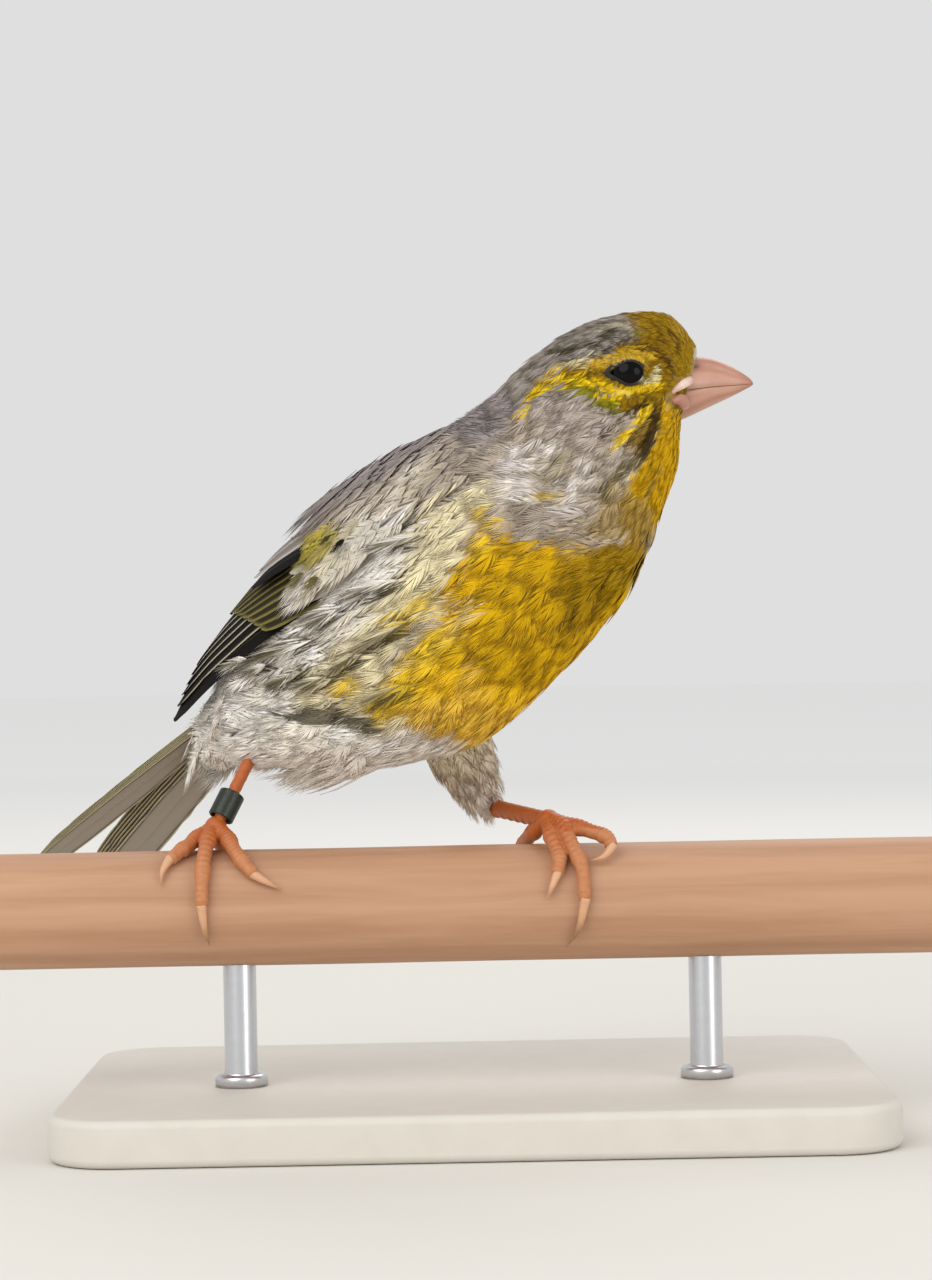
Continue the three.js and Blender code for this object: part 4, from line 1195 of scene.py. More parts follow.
class CANARY_OT_coat(CanaryOperator, bpy.types.Operator):
    """Add the feathers of the body, neck and head"""

    bl_idname = "canary.coat"
    bl_label = "Coat"

    def execute(self, context):
        group = context.scene.canary_plumage
        rng = np.random.default_rng(11)
        body_plumes = [plume(rng, group.barbs, 0.066, 0.25) for _ in range(4)]
        head_plumes = [plume(rng, group.head_barbs, 0.1, 0.2) for _ in range(4)]

        def keep(number, around):
            return ~under_wing(number, around)

        def sweep(number, degrees):
            away = np.interp(np.abs(degrees), (0, 75, 95, 130, 155), (0, 5, -12, -12, 0))
            return np.sign(degrees) * away * (number < 6)

        def length(number, around):
            vent = np.interp(number, (0, 1.5, 2.3), (0.55, 0.7, 1))
            return coat_size(number, "length") * np.where(around > 100, vent, 1)

        number, degrees = scatter(rng, 90000, lambda n, a: coat_size(n, "gap"), keep)
        scattered = len(number)
        number, degrees = np.concatenate([(number, degrees), self.eye_ring()], axis=1)
        roots = roots_on_skin(rng, number, degrees, {
            "swing": sweep,
            "jitter": 10,
            "length": length,
            "half": lambda n, a: coat_size(n, "half"),
            "rise": lambda n, a: coat_size(n, "rise") * group.fluff,
        })
        clear = np.ones(len(number), bool)
        for side in (-1, 1):
            forward, up, near = eye_offset(roots["point"], side)
            clear &= ~near | (eye_share(forward, up, 0.25, 0.2) > 1)
        for path in (GAPE, JAW):
            path = line_at(path, np.linspace(0, 1, 9))
            for side in (-1, 1):
                line = skin(path[:, 0], side * path[:, 1], skin_depth(path[:, 0]))
                clear &= reach_of(roots["point"], line) > 0.6 * MM
        clear[scattered:] = True
        roots = part_of(roots, clear)
        material = plumage_material("contour_feathers", 1500, 0.8, 0.04)
        number, degrees = roots["number"], roots["degrees"]
        around = np.abs(degrees)
        rear, breast = number <= 3.6, (number > 3.6) & (number <= 6.0)
        regions = {
            "head_coat_face": (number > 8.9, head_plumes, "head_plumage"),
            "head_coat_crown": ((number > 7.4) & (number <= 8.9), head_plumes, "head_plumage"),
            "neck_coat": ((number > 6.0) & (number <= 7.4), body_plumes, "grey_plumage"),
            "breast_coat_left": (breast & (degrees >= 0), body_plumes, "body_plumage"),
            "breast_coat_right": (breast & (degrees < 0), body_plumes, "body_plumage"),
            "vent_coat": (rear & (around > 100), body_plumes, "body_plumage"),
            "rump_coat": (rear & (around <= 100), body_plumes, "grey_plumage"),
        }
        for name, (chosen, plumes, slot) in regions.items():
            settle(plant(name, rng, part_of(roots, chosen), plumes, group), material)
        for index, (label, leg) in enumerate(LEGS.items()):
            roots = self.thigh_roots(group, rng, leg, index)
            settle(plant(f"thigh_coat_{label}", rng, roots, body_plumes, group), material)
        return {"FINISHED"}

    def eye_ring(self):
        """Section numbers and degrees of two rings of tiny feathers round each eye."""
        places = []
        for side in (-1, 1):
            for grow, count in ((1.3, 34), (1.5, 38)):
                across, up = eye_outline(np.linspace(0, 2 * math.pi, count, endpoint=False))
                level = np.full(count, side * 7.5)
                local = np.stack([EYE["at"] + across * grow, level, EYE["rise"] + up * grow], -1) * MM
                places.append(placed("head", local))
        return nearest_place(np.concatenate(places))[:2]

    def thigh_roots(self, group, rng, leg, index):
        """Loose down over a thigh, longest above the ankle."""
        tries = 3200
        along, turn = rng.uniform(0.03, 0.99, tries) ** 0.8, rng.random(tries)
        _, _, ahead, side, other = thigh_frames(leg)
        number = np.clip(np.round(along * 40).astype(int), 0, 40)
        angle = turn * 2 * math.pi
        out = side[number] * np.cos(angle)[:, None] + other[number] * np.sin(angle)[:, None]
        centre = line_at(thigh_line(leg), along)
        point = centre + out * np.maximum(thigh_girth(leg, along) - 0.6 * MM, 0)[:, None]
        kept = thinned(point, np.full(tries, 1.1 * MM))
        along, turn, point, normal = along[kept], turn[kept], point[kept], out[kept]
        lie = flattened(unit(ahead[number][kept] + rng.normal(0, 0.12, (kept.sum(), 3))), normal)
        count = len(along)
        beige = np.interp(along, (0.3, 0.9), (0.9, 0.1)) * (0.3 if leg is LEGS["right"] else 1)
        colour = toward(palette(group, "down_white"), palette(group, "thigh_beige"), beige)
        colour = colour * rng.uniform(0.8, 1.04, (count, 1))
        return {
            "point": point, "normal": normal, "lie": lie, "bend": np.full(count, 30.0),
            "length": np.interp(along, (0, 0.6, 1), (5.0, 5.0, 4.6)) * rng.uniform(0.85, 1.15, count) * MM,
            "half": np.interp(along, (0, 1), (1.5, 1.0)) * MM,
            "rise": np.radians(rng.normal(11, 3, count)), "colour": colour,
            "streak": rng.uniform(0, 0.6, count) ** 1.5, "spot": thigh_spot(index, turn, along),
        }


class CANARY_OT_flanks(CanaryOperator, bpy.types.Operator):
    """Add the long loose feathers that lie over the wings: flanks, scapulars and dark streaks"""

    bl_idname = "canary.flanks"
    bl_label = "Flanks and scapulars"

    def execute(self, context):
        group = context.scene.canary_plumage
        rng = np.random.default_rng(23)
        plumes = [plume(rng, group.barbs, 0.062, 0.4) for _ in range(4)]
        material = plumage_material("long_feathers", 1500, 0.8, 0.04)
        for name, slot, gap, keep, settings in self.tracts(group):
            number, degrees = scatter(rng, 30000, gap, keep)
            roots = roots_on_skin(rng, number, degrees, settings)
            if "dark" in settings:
                self.darken(rng, roots, palette(group, settings["dark"]))
            if "tones" in settings:
                self.tone_coverts(context, rng, roots)
            settle(plant(name, rng, roots, plumes, group, settings.get("stripe", 0.24)), material)
        roots = self.streak_roots(group, rng)
        settle(plant("flank_streaks", rng, roots, plumes, group, 0.6), material)
        roots = self.spot_roots(context, rng)
        settle(plant("covert_spots", rng, roots, plumes, group, 2.0), material)
        return {"FINISHED"}

    def spot_roots(self, context, rng):
        """The small dark feathers over the coverts."""
        number, degrees, size, tone = np.repeat(np.array(COVERT_SPOTS), 2, axis=0).T
        degrees = degrees * np.tile((-1, 1), len(COVERT_SPOTS))
        roots = roots_on_skin(rng, number, degrees, {
            "lift": lambda n, a: np.interp(n, (3.7, 4.2, 4.6), (4.7, 4.7, 4.2)),
            "jitter": 4, "length": size, "half": 0.24 * size, "rise": 4,
        })
        flight = context.scene.canary_flight
        roots["colour"] = toward(palette(flight, "flight_black"), palette(flight, "covert_olive"), tone)
        roots["streak"] = 0 * number
        return roots

    def darken(self, rng, roots, colour):
        """A dark shaft streak for every feather."""
        count = len(roots["number"])
        roots["dark"] = colour * rng.uniform(0.75, 1.2, (count, 1))
        roots["streak"] = rng.uniform(0.75, 1.0, count)

    def tone_coverts(self, context, rng, roots):
        """Yellow tips under the scapulars, then buff and pale grey, some with dark centres."""
        flight = context.scene.canary_flight
        names = ("tertial_edge", "covert_buff", "covert_buff", "covert_yellow", "covert_buff")
        tones = np.array([palette(flight, name) for name in names])
        number = roots["number"] + rng.normal(0, 0.05, len(roots["number"]))
        colour = interpolated(number, (3.7, 3.85, 4.08, 4.2, 4.5), tones)
        low = np.maximum(smooth(74, 82, np.abs(roots["degrees"])), smooth(4.3, 4.6, number))
        roots["colour"] = toward(colour, palette(context.scene.canary_plumage, "collar_pale"), 0.6 * low)
        roots["dark"] = palette(flight, "covert_brown", len(number))
        roots["streak"] = rng.choice([0.0, 0.3, 0.6], len(number), p=[0.75, 0.17, 0.08])

    def streak_roots(self, group, rng):
        """Feathers with dark centres, along the flank streaks of the markings."""
        number, degrees, length, swing = [], [], [], []
        for name, path, *_ in MARKS:
            if name != "flank_streak":
                continue
            path = np.array(path, float)
            for side in (-1, 1):
                start, end = skin(path[:, 0], side * path[:, 1])
                normal, ahead, _, _ = skin_frame(path[0, 0], side * path[0, 1])
                way = end - start
                turn = math.degrees(math.atan2(way @ np.cross(normal, ahead), -way @ ahead))
                for shift in (-0.02, 0.03):
                    number.append(path[0, 0] + 0.1 + shift)
                    degrees.append(side * (path[0, 1] - 1 + 40 * shift))
                    length.append(np.linalg.norm(way) / MM + 3.6)
                    swing.append(turn)
        roots = roots_on_skin(rng, np.array(number), np.array(degrees), {
            "lift": lambda n, a: np.interp(a, (84, 96, 112, 125), (3.6, 3.0, 1.8, 1.0)),
            "swing": np.array(swing), "jitter": 4, "length": np.array(length), "half": 0.85,
            "rise": 7 * group.fluff,
        })
        self.darken(rng, roots, palette(group, "flank_streak"))
        return roots

    def tracts(self, group):
        """Each tract's name, slot, gap, bounds and sizes by place."""
        def flank_lift(n, a):
            return np.interp(a, (66, 84, 96, 112), (3.0, 2.4, 1.6, 0.5)) * np.interp(n, (4.4, 5.3), (1, 0.4))

        def back_lift(n, a):
            return np.interp(n, (4.1, 4.6, 5.2, 6.1), (4.5, 3.5, 1.7, 0.1)) * np.interp(a, (6, 30), (0.2, 1))

        flank = {
            "lift": flank_lift, "swing": lambda n, d: -18 * np.sign(d), "jitter": 8,
            "length": lambda n, a: np.interp(n, (2.3, 5.3), (8.6, 8.0)), "half": 1.3,
            "rise": 4.5 * group.fluff}
        scapular = {"lift": back_lift, "jitter": 5, "length": 8.6, "half": 1.5, "rise": 5}
        dark_back = {
            "lift": lambda n, a: back_lift(n, a) + 0.3, "jitter": 4, "length": 10.0, "half": 1.3, "rise": 5,
            "dark": "streak_dark", "stripe": 0.34}
        covert = {
            "lift": lambda n, a: np.interp(n, (3.7, 4.2, 4.6, 5.0), (3.9, 3.8, 3.0, 1.8)),
            "jitter": 6, "length": 6.4, "half": 1.5, "rise": 4, "tones": True}
        wisps = {
            "jitter": 12, "length": lambda n, a: np.interp(n, (2.5, 3.2), (10.0, 8.0)), "half": 1.6,
            "rise": lambda n, a: np.interp(n, (2.0, 2.5, 3.0, 4.2), (24, 34, 12, 8))}

        def on_coverts(n, a):
            rear = np.interp(a, (60, 72, 76, 90), (4.2, 4.12, 3.72, 3.7))
            return (a > 58) & (a < 90) & (n > rear) & (n < 4.9)

        def on_belly(n, a):
            return (a > 150) & (n > 2.0) & (n < 4.2)

        def on_flank(n, a):
            upper = np.interp(n, (2.0, 4.2, 4.8, 5.4), (90, 90, 78, 66))
            return (a > upper) & (a < 114) & (n > 2.3) & (n < 5.4)

        def on_back(n, a):
            rear = np.interp(a, (30, 57, 66, 83), (4.1, 4.35, 4.55, 5.0))
            return (a > 6) & (a < 88) & (n > rear) & (n < 6.1)

        return (
            ("flank_coat", "body_plumage", 1.35, on_flank, flank),
            ("scapular_coat", "grey_plumage", 1.4, on_back, scapular),
            ("mantle_streaks", "grey_plumage", 3.4, on_back, dark_back),
            ("covert_coat", "body_plumage", 1.25, on_coverts, covert),
            ("belly_wisps", "body_plumage", 1.7, on_belly, wisps),
        )


# Wings and tail

VANE_COLUMNS = (-1, -0.94, -0.86, -0.78, -0.62, -0.34, -0.09, 0, 0.09, 0.34, 0.62, 0.78, 0.86, 0.94, 1)


def vane_cage():
    """A thin closed sheet as column values, row shares, top or bottom, and triangles."""
    bm = bmesh.new()
    columns, rows = len(VANE_COLUMNS) - 1, VANE["rows"]
    bmesh.ops.create_grid(bm, x_segments=columns, y_segments=rows, size=0.5)
    bmesh.ops.solidify(bm, geom=bm.faces[:], thickness=0.1)
    bmesh.ops.recalc_face_normals(bm, faces=bm.faces)
    points, faces = arrays_of(bm)
    middle = (points[:, 2].max() + points[:, 2].min()) / 2
    column = np.array(VANE_COLUMNS)[np.round((points[:, 0] + 0.5) * columns).astype(int)]
    row = np.round((points[:, 1] + 0.5) * rows) / rows
    return column, row, np.where(points[:, 2] > middle, 1.0, 0.0), faces


VANE_X, VANE_S, VANE_TOP, VANE_FACES = vane_cage()
VANE_ALONG = 1 - (1 - VANE_S) ** 1.25


def vane_width(along, tip):
    opening = 0.55 + 0.45 * np.minimum(1, along / 0.5)
    closing = np.clip((along - 0.7) / 0.3, 0, 1) ** 2
    rounded = np.sqrt(np.clip(1 - (np.clip(along - 0.9, 0, 1) / 0.1) ** 2, 0.0, 1))
    return opening * (1 + (tip - 1) * closing) * np.maximum(rounded, 0.04)


def vane_points(rng, line, normals, looks, side):
    """A flight feather along a line of points with their normals. The outer edge stands a little proud."""
    stations = np.linspace(0, 1, len(line))
    centre = interpolated(VANE_ALONG, stations, line)
    up = unit(interpolated(VANE_ALONG, stations, normals))
    ahead = unit(interpolated(VANE_ALONG, stations, np.gradient(line, axis=0)))
    left = unit(np.cross(up, -ahead))
    up = np.cross(-ahead, left)
    half = looks["half"] * vane_width(VANE_ALONG, looks["tip"])
    shaft = np.abs(VANE_X) < 0.2
    rows = VANE["rows"]
    notch = rng.uniform(0, 1, (2, rows + 1)) ** 8 * 0.07
    index = np.round(VANE_S * rows).astype(int)
    ragged = 1 - np.where(np.abs(VANE_X) > 0.8, notch[(VANE_X > 0).astype(int), index], 0)
    wide = np.where(shaft, np.sign(VANE_X) * 0.16 * (1.15 - VANE_ALONG), VANE_X * half * ragged)
    wide = np.where(np.abs(wide) > half, np.sign(wide) * half, wide)
    thick = looks["thick"] * (1 - 0.8 * VANE_X**2) * (1 - 0.6 * VANE_ALONG)
    ridge = np.where(VANE_X == 0, VANE["ridge"] * (1.1 - VANE_ALONG), 0) * np.where(VANE_TOP > 0, 1, -1)
    lift = (VANE_TOP - 0.5) * thick + ridge + VANE["tilt"] * VANE_X * side - VANE["drape"] * wide**2
    points = centre + left * (wide * MM)[:, None] + up * (lift * MM)[:, None]
    barb = np.stack([VANE_ALONG * looks["long"] * 3.2 - np.abs(wide) * 3.4, wide * 0.2, VANE_ALONG * 0], -1)
    return points, half, wide, barb


def vane_colours(half, wide, looks, core, rim, shaft):
    """Dark along the middle and pale at the edges, with a pale shaft."""
    edge = smooth(half - looks["edge"] - 0.12, half - looks["edge"] + 0.1, np.abs(wide)) * (half > 0.3)
    if looks.get("fade"):
        edge = edge * (1 - smooth(*looks["fade"], VANE_ALONG))
    tip = smooth(0.93, 1.0, VANE_ALONG) * looks["tip_pale"]
    colour = toward(core, rim, np.clip(np.maximum(edge, tip), 0, 1))
    if "line" in looks:
        inside = (half - looks["edge"] - np.abs(wide) - 0.12) / 0.16
        colour = toward(colour, looks["line"], 0.85 * np.exp(-(inside**2)) * (half > 1))
    middle = (np.abs(VANE_X) < 0.05) & (VANE_ALONG < 0.97)
    return toward(colour, shaft, middle * looks["shaft"])


def vanes_piece(name, vanes):
    """One mesh of vanes, each with its own two strips on the baking map."""
    count = len(vanes)
    points, colours, barbs = (np.concatenate(part) for part in zip(*vanes))
    faces = np.concatenate([VANE_FACES + i * len(VANE_X) for i in range(count)])
    piece = object_from_arrays(name, points, faces)
    paint(piece, "plumage", colours)
    paint(piece, "barb", barbs)
    spots = []
    for i in range(count):
        across = (i + 0.5 + 0.46 * VANE_X) / count
        spots.append(np.stack([across, 0.02 + 0.46 * VANE_ALONG + 0.5 * VANE_TOP], -1))
    bake_map(piece, np.concatenate(spots))
    return piece


def wing_line(path, side):
    """Points and normals over the body along a path of (section number, degrees, lift) places."""
    places = line_at(path, np.linspace(0, 1, VANE["rows"] + 1))
    number, degrees = places[:, 0], side * places[:, 1]
    normal = skin_frame(number, degrees)[0]
    return skin(number, degrees) + normal * places[:, 2:3] * MM, normal


class CANARY_OT_wings(CanaryOperator, bpy.types.Operator):
    """Add the folded wings: flight feathers and coverts in tiers"""

    bl_idname = "canary.wings"
    bl_label = "Wings"

    def execute(self, context):
        group = context.scene.canary_flight
        material = vane_material("flight_vanes")
        for label, side in SIDES:
            rng = np.random.default_rng(31)
            vanes = []
            for row in WING_ROWS:
                vanes += self.row(rng, group, row, side)
            piece = vanes_piece(f"wing_feathers_{label}", vanes)
            settle(piece, material, (f"wing_{label}",))
        return {"FINISHED"}

    def row(self, rng, group, row, side):
        vanes = []
        paths = np.array(row["outer"]), np.array(row["inner"])
        for i in range(row["count"]):
            share = (i / (row["count"] - 1)) ** row.get("bunch", 1)
            line, normals = wing_line(between(paths, share), side)
            looks = {
                "half": between(row["half"], share), "tip": row["tip"], "thick": group.thick / MM,
                "edge": row["edge"], "shaft": 0.35, "fade": row.get("fade"),
                "tip_pale": 0.0 if "fade" in row else 0.6,
                "long": np.linalg.norm(np.diff(line, axis=0), axis=1).sum() / MM,
            }
            points, half, wide, barb = vane_points(rng, line, normals, looks, side)
            tone = rng.normal(1, 0.06)
            plain = i < row.get("plain", 0)
            core, rim = (row["core"], row["core"]) if plain else (row.get("later", row["core"]), row["rim"])
            colour = vane_colours(half, wide, looks, palette(group, core) * tone,
                                  palette(group, rim) * tone, palette(group, "shaft_pale") * 0.4)
            vanes.append((points, colour, barb))
        return vanes


class CANARY_OT_tail(CanaryOperator, bpy.types.Operator):
    """Add the twelve tail feathers"""

    bl_idname = "canary.tail"
    bl_label = "Tail"

    def execute(self, context):
        group = context.scene.canary_flight
        rng = np.random.default_rng(47)
        vanes = []
        slope = rad(TAIL["slope"])
        for side in (1, -1):
            normal = np.array([0, side * math.sin(slope), math.cos(slope)])
            outward = np.array([0, side * math.cos(slope), -math.sin(slope)])
            world = placed("body", normal) - placed("body", np.zeros(3))
            for i in range(TAIL["count"]):
                share = i / (TAIL["count"] - 1)
                angle = rad(between(TAIL["fan"], share) + side * TAIL["swing"])
                start = np.array([TAIL["root"][0], 0, TAIL["root"][1]])
                start = start + outward * (TAIL["apart"] + TAIL["spacing"] * i) - normal * TAIL["drop"] * i
                away = np.array([-math.cos(angle), 0, 0]) + outward * math.sin(angle)
                reach = between(TAIL["reach"], share)
                stations = np.linspace(0, reach, VANE["rows"] + 1)[:, None]
                line = placed("body", (start + away * stations) * MM)
                looks = {"half": TAIL["half"], "tip": 0.62, "thick": group.thick / MM, "edge": 0.34,
                         "shaft": 0.8, "long": reach, "tip_pale": 0.1, "line": palette(group, "flight_black")}
                points, half, wide, barb = vane_points(rng, line, np.tile(world, (len(line), 1)), looks, side)
                colour = vane_colours(half, wide, looks, palette(group, "tail_grey") * rng.normal(1, 0.05),
                                      palette(group, "tail_edge"), palette(group, "shaft_pale"))
                vanes.append((points, colour, barb))
        piece = vanes_piece("tail_feathers", vanes)
        settle(piece, vane_material("tail_vanes"), ("tail",))
        return {"FINISHED"}


# Bill and eyes


def bill_share(x):
    """Share along the bill, and the height of its mouth line there."""
    share = np.clip((x - BILL["root"]) / (BILL["tip"] - BILL["root"]), 0, 1)
    return share, between((BILL["gape"], BILL["tip_rise"]), share)


def nostril_at(x, rise, long, tall):
    return np.exp(-(((x - NOSTRIL[0]) / long) ** 2 + ((rise - NOSTRIL[1]) / tall) ** 2))


def bill_half(upper):
    def place(turn, along, reach):
        along = 1 - (1 - along) ** 1.15
        x = between((BILL["root"], BILL["tip"]), along)
        share, line = bill_share(x)
        line = line + (0.02 if upper else -0.06) + 0.22 * np.sin(share * math.pi) ** 2 * (1 - share)
        culmen = BILL["culmen"] * (1 - share**2.2) + BILL["hook"] * share
        gonys = BILL["gonys"] * (1 - share**1.25) + 0.1
        depth = culmen if upper else -gonys
        wide = (BILL["half"] + (0.1 if upper else -0.08)) * (1 - share**1.5) + 0.26
        rounding = np.sqrt(np.clip(1 - np.clip((along - 0.94) / 0.06, 0, 1) ** 2, 0.02, 1))
        angle = turn * 2 * math.pi
        over = np.cos(angle)
        lip = np.where(over < 0, 0.06 * over, 0)
        belly = np.maximum(over, 0) ** (0.85 if upper else 1.0)
        side = reach * wide * np.sin(angle) * rounding
        rise = line + reach * (depth * belly + (lip if upper else -lip)) * rounding
        side = side * (1 - 0.16 * upper * nostril_at(x, rise, 0.55, 0.4))
        return placed("head", np.stack([x, side, rise], -1) * MM)

    return tube(48, 44, place)


class CANARY_OT_bill(CanaryOperator, bpy.types.Operator):
    """Add the two halves of the bill with the nostrils"""

    bl_idname = "canary.bill"
    bl_label = "Bill"

    def execute(self, context):
        group = context.scene.canary_head
        material = painted_material(
            "bill_horn", 700, 0.1, 0.38, 0.00004,
            Subsurface_Weight=0.15, Subsurface_Scale=0.001, Coat_Weight=0.08)
        rotation, centre = POSES["head"]
        for name, upper in (("upper", True), ("lower", False)):
            piece = object_from_bmesh(f"bill_horn_{name}", bill_half(upper))
            x, y, z = ((places_of(piece) - centre) @ rotation / MM).T
            share, line = bill_share(x)
            off = z - line
            paint(piece, "tint", self.horn(group, upper, x, z, off, share))
            turn = 0.5 + 0.48 * np.arctan2(y, off) / math.pi
            bake_map(piece, np.stack([0.02 + 0.96 * share, turn], -1))
            settle(piece, material, (f"bill_{name}",))
        for label, side in SIDES:
            self.flange(group, f"gape_{label}", GAPE, side, 0.62, "gape", material)
            self.flange(group, f"jaw_{label}", JAW, side, 0.95, "bill_pink", material)
        return {"FINISHED"}

    def horn(self, group, upper, x, z, off, share):
        """Pink horn with pale streaks, darker along the ridge, and painted shade along the mouth line and in
        the nostril.
        """
        pale, grey = palette(group, "bill_pale"), palette(group, "bill_grey")
        colour = palette(group, "bill_pink", len(x))
        streaks = 0.5 + 0.5 * np.sin(off / (BILL["culmen"] * (1.12 - share)) * 15 + 0.8 * np.sin(9 * share))
        edge = bell(off, 0.55) * (1 - smooth(0.75, 1, share))
        base = (1 - smooth(0.22, 0.5, share)) * bell(off - 0.6, 1.2)
        # Painted shade along the mouth line, weaker towards the tip
        mouth = bell(off, 0.16) * (0.8 - smooth(0.0, 0.4, share) * 0.6)
        ridge = smooth(2.2, 4.2, np.abs(off)) * 0.6 + smooth(0.75, 1.0, share) * 0.35
        # The mouth line's brown and the nostril's dark spot are painted shade
        for tone, amount in (
                (pale, 0.5 * streaks * (1 - smooth(0.6, 1.0, share))), (pale, 0.5 * edge), (pale, 0.8 * base),
                (palette(group, "mouth"), mouth * (1 - smooth(0.85, 1, share))), (grey, np.clip(ridge, 0, 1)),
                (grey * 0.25, 0.75 * upper * nostril_at(x, z, 0.5, 0.34))):
            colour = toward(colour, tone, amount)
        return colour

    def flange(self, group, name, path, side, wide, tone, material):
        """The swollen corner of the mouth or the root of the lower bill, paler at its middle."""
        number, degrees = line_at(path, np.linspace(0, 1, 7)).T
        line = skin(number, side * degrees, skin_depth(number))

        def radius(along, out):
            return wide * (0.25 + 0.75 * np.sin(0.3 + along * 2.0) ** 1.5) * MM

        piece = object_from_bmesh(name, limb(line, 24, 28, radius))
        spots = places_of(piece)
        ends = np.linalg.norm(spots - line[0], axis=1) / np.linalg.norm(line[-1] - line[0])
        rosy = np.clip(1.0 - 2.2 * ends, 0, 1) * 0.7 + np.clip(2.2 * ends - 1.5, 0, 1) * 0.6
        paint(piece, "tint", toward(palette(group, tone), palette(group, "bill_grey"), rosy))
        settle(piece, material)


def eye_outline(angle):
    """The eye opening, forward and up from its centre, round in front and pointed behind."""
    forward = np.cos(angle)
    across = np.where(forward > 0, EYE["front"], EYE["rear"]) * forward
    taper = np.where(forward < 0, 1 - 0.72 * np.abs(forward) ** 1.5, 1)
    return across, EYE["tall"] * np.sin(angle) * taper - 0.1 * np.where(forward < 0, forward, 0)


class CANARY_OT_eyes(CanaryOperator, bpy.types.Operator):
    """Add the eyes and their lids"""

    bl_idname = "canary.eyes"
    bl_label = "Eyes"

    def execute(self, context):
        group = context.scene.canary_head
        glass, tree, shader = new_material("eye_glass", 0.05, Specular_IOR_Level=0.12)
        mottled(tree, shader, plain_colour(tree, group.iris), 2400, 0.5)
        lids = painted_material("eyelid", 3000, 0.2, 0.55, 0.00005, Specular_IOR_Level=0.4)
        for label, side in SIDES:
            centre = placed("head", np.array([EYE["at"], side * EYE["out"], EYE["rise"]]) * MM)
            piece = object_from_bmesh(f"eyeball_{label}", sphere(EYE["radius"] * MM, centre, 48))
            settle(piece, glass, (f"eye_{label}",))
            self.lid(group, context.scene.canary_plumage, label, side, lids)
        return {"FINISHED"}

    def lid(self, group, face, label, side, material):
        """A rolled rim round the opening that runs back under the feathers."""
        bm = bmesh.new()
        bmesh.ops.create_grid(bm, x_segments=96, y_segments=14, size=0.5)
        local = places_of(bm) + 0.5
        angle, ring = local[:, 0] * 2 * math.pi, local[:, 1] * 2 * math.pi
        across, up = eye_outline(angle)
        grow = 1 + EYE["rim"] * (1 - np.cos(ring)) / 2 / np.hypot(across, up)
        forward, rise = across * grow, up * grow
        over = np.sqrt(np.maximum(EYE["radius"] ** 2 - np.hypot(forward, rise) ** 2, 1.4**2))
        beads = 0.03 * np.cos(angle * 26) * np.sin(ring / 2) ** 2
        out = EYE["out"] + over + 0.12 * np.sin(ring) + 0.04 + beads
        points = placed("head", np.stack([EYE["at"] + forward, side * out, EYE["rise"] + rise], -1) * MM)
        move_to(bm, points)
        bmesh.ops.remove_doubles(bm, verts=bm.verts, dist=1e-6)
        bmesh.ops.recalc_face_normals(bm, faces=bm.faces)
        piece = object_from_bmesh(f"eyelid_{label}", bm)
        spots = places_of(piece)
        forward, up, _ = eye_offset(spots, side)
        olive = smooth(1.2, 1.45, eye_share(forward, up)) * (1 - bell(up, 0.3) * (forward < -1))
        pale = 0.5 * np.exp(-(((forward - 1.5) / 0.5) ** 2 + ((up + 0.8) / 0.4) ** 2))
        colour = toward(palette(group, "lid", len(spots)), palette(face, "face_olive"), olive)
        paint(piece, "tint", toward(colour, palette(group, "lid_pale"), pale))
        settle(piece, material)


# Legs


def on_perch(place):
    x, degrees, lift = place
    reach = PERCH_RADIUS / MM + lift
    return PERCH_CENTRE + np.array([x, -reach * math.sin(rad(degrees)), reach * math.cos(rad(degrees))]) * MM


def shank_ends(leg):
    return np.array(leg["ankle"]) * MM + PERCH_CENTRE, on_perch(leg["ball"])


def scute_steps(along, count):
    """Overlapping plates: each rises to its lower edge and drops to the next."""
    share = (along * count) % 1.0
    return smooth(0.0, 0.8, share) * (1 - smooth(0.86, 1.0, share))


def shank(leg):
    top, foot = shank_ends(leg)
    down = unit(foot - top)
    back = flattened(np.array(leg["fore"], float), down)
    across = np.cross(down, back)

    def place(turn, along, reach):
        angle = turn * 2 * math.pi
        swell = 1 + SHANK["swell"] * bell(along, SHANK["swell_reach"])
        front = np.clip(-np.cos(angle) + 0.35, 0, 1)
        plates = 1 + 0.13 * scute_steps(along, SHANK["scutes"]) * np.maximum(front, 0.25)
        broad = SHANK["broad"] * swell * plates * reach * np.cos(angle) * MM
        narrow = SHANK["narrow"] * swell * plates * reach * np.sin(angle) * MM
        centre = between((top, foot), along[:, None])
        return centre + back * broad[:, None] + across * narrow[:, None]

    return tube(32, 90, place)


def toe(leg, points):
    line = [on_perch(leg["ball"])] + [on_perch(p) for p in points[:-2]]
    count = 5 * len(line) - 6
    middle = PERCH_CENTRE * (0, 1, 1)

    def radius(along, out):
        joints = TOE["knuckle"] * np.cos(along * 3 * math.pi) ** 2
        base = between((TOE["root"], TOE["end"]), along) + joints
        centre = line_at(np.array(line), along) * (0, 1, 1) - middle
        upper = np.clip((out * unit(centre)).sum(-1) + 0.3, 0, 1)
        pad = 0.1 * np.cos(along * 6 * math.pi) ** 2 * (1 - upper)
        close = np.sqrt(np.clip(1 - np.clip((along - 0.93) / 0.07, 0, 1) ** 2, 0.12, 1))
        return (base * (0.96 + 0.17 * scute_steps(along, count) * upper) + pad) * close * MM

    return limb(line, 24, 22 * len(line), radius)


def claw(points):
    line = np.array([on_perch(p) for p in points[-3:]])
    start = line_at(line, 0.0)
    line[0] = start - unit(line[1] - start) * CLAW["sunk"] * MM

    def radius(along, out):
        return between((CLAW["root"], CLAW["tip"]), along**1.1) * MM

    return limb(line, 20, 28, radius)


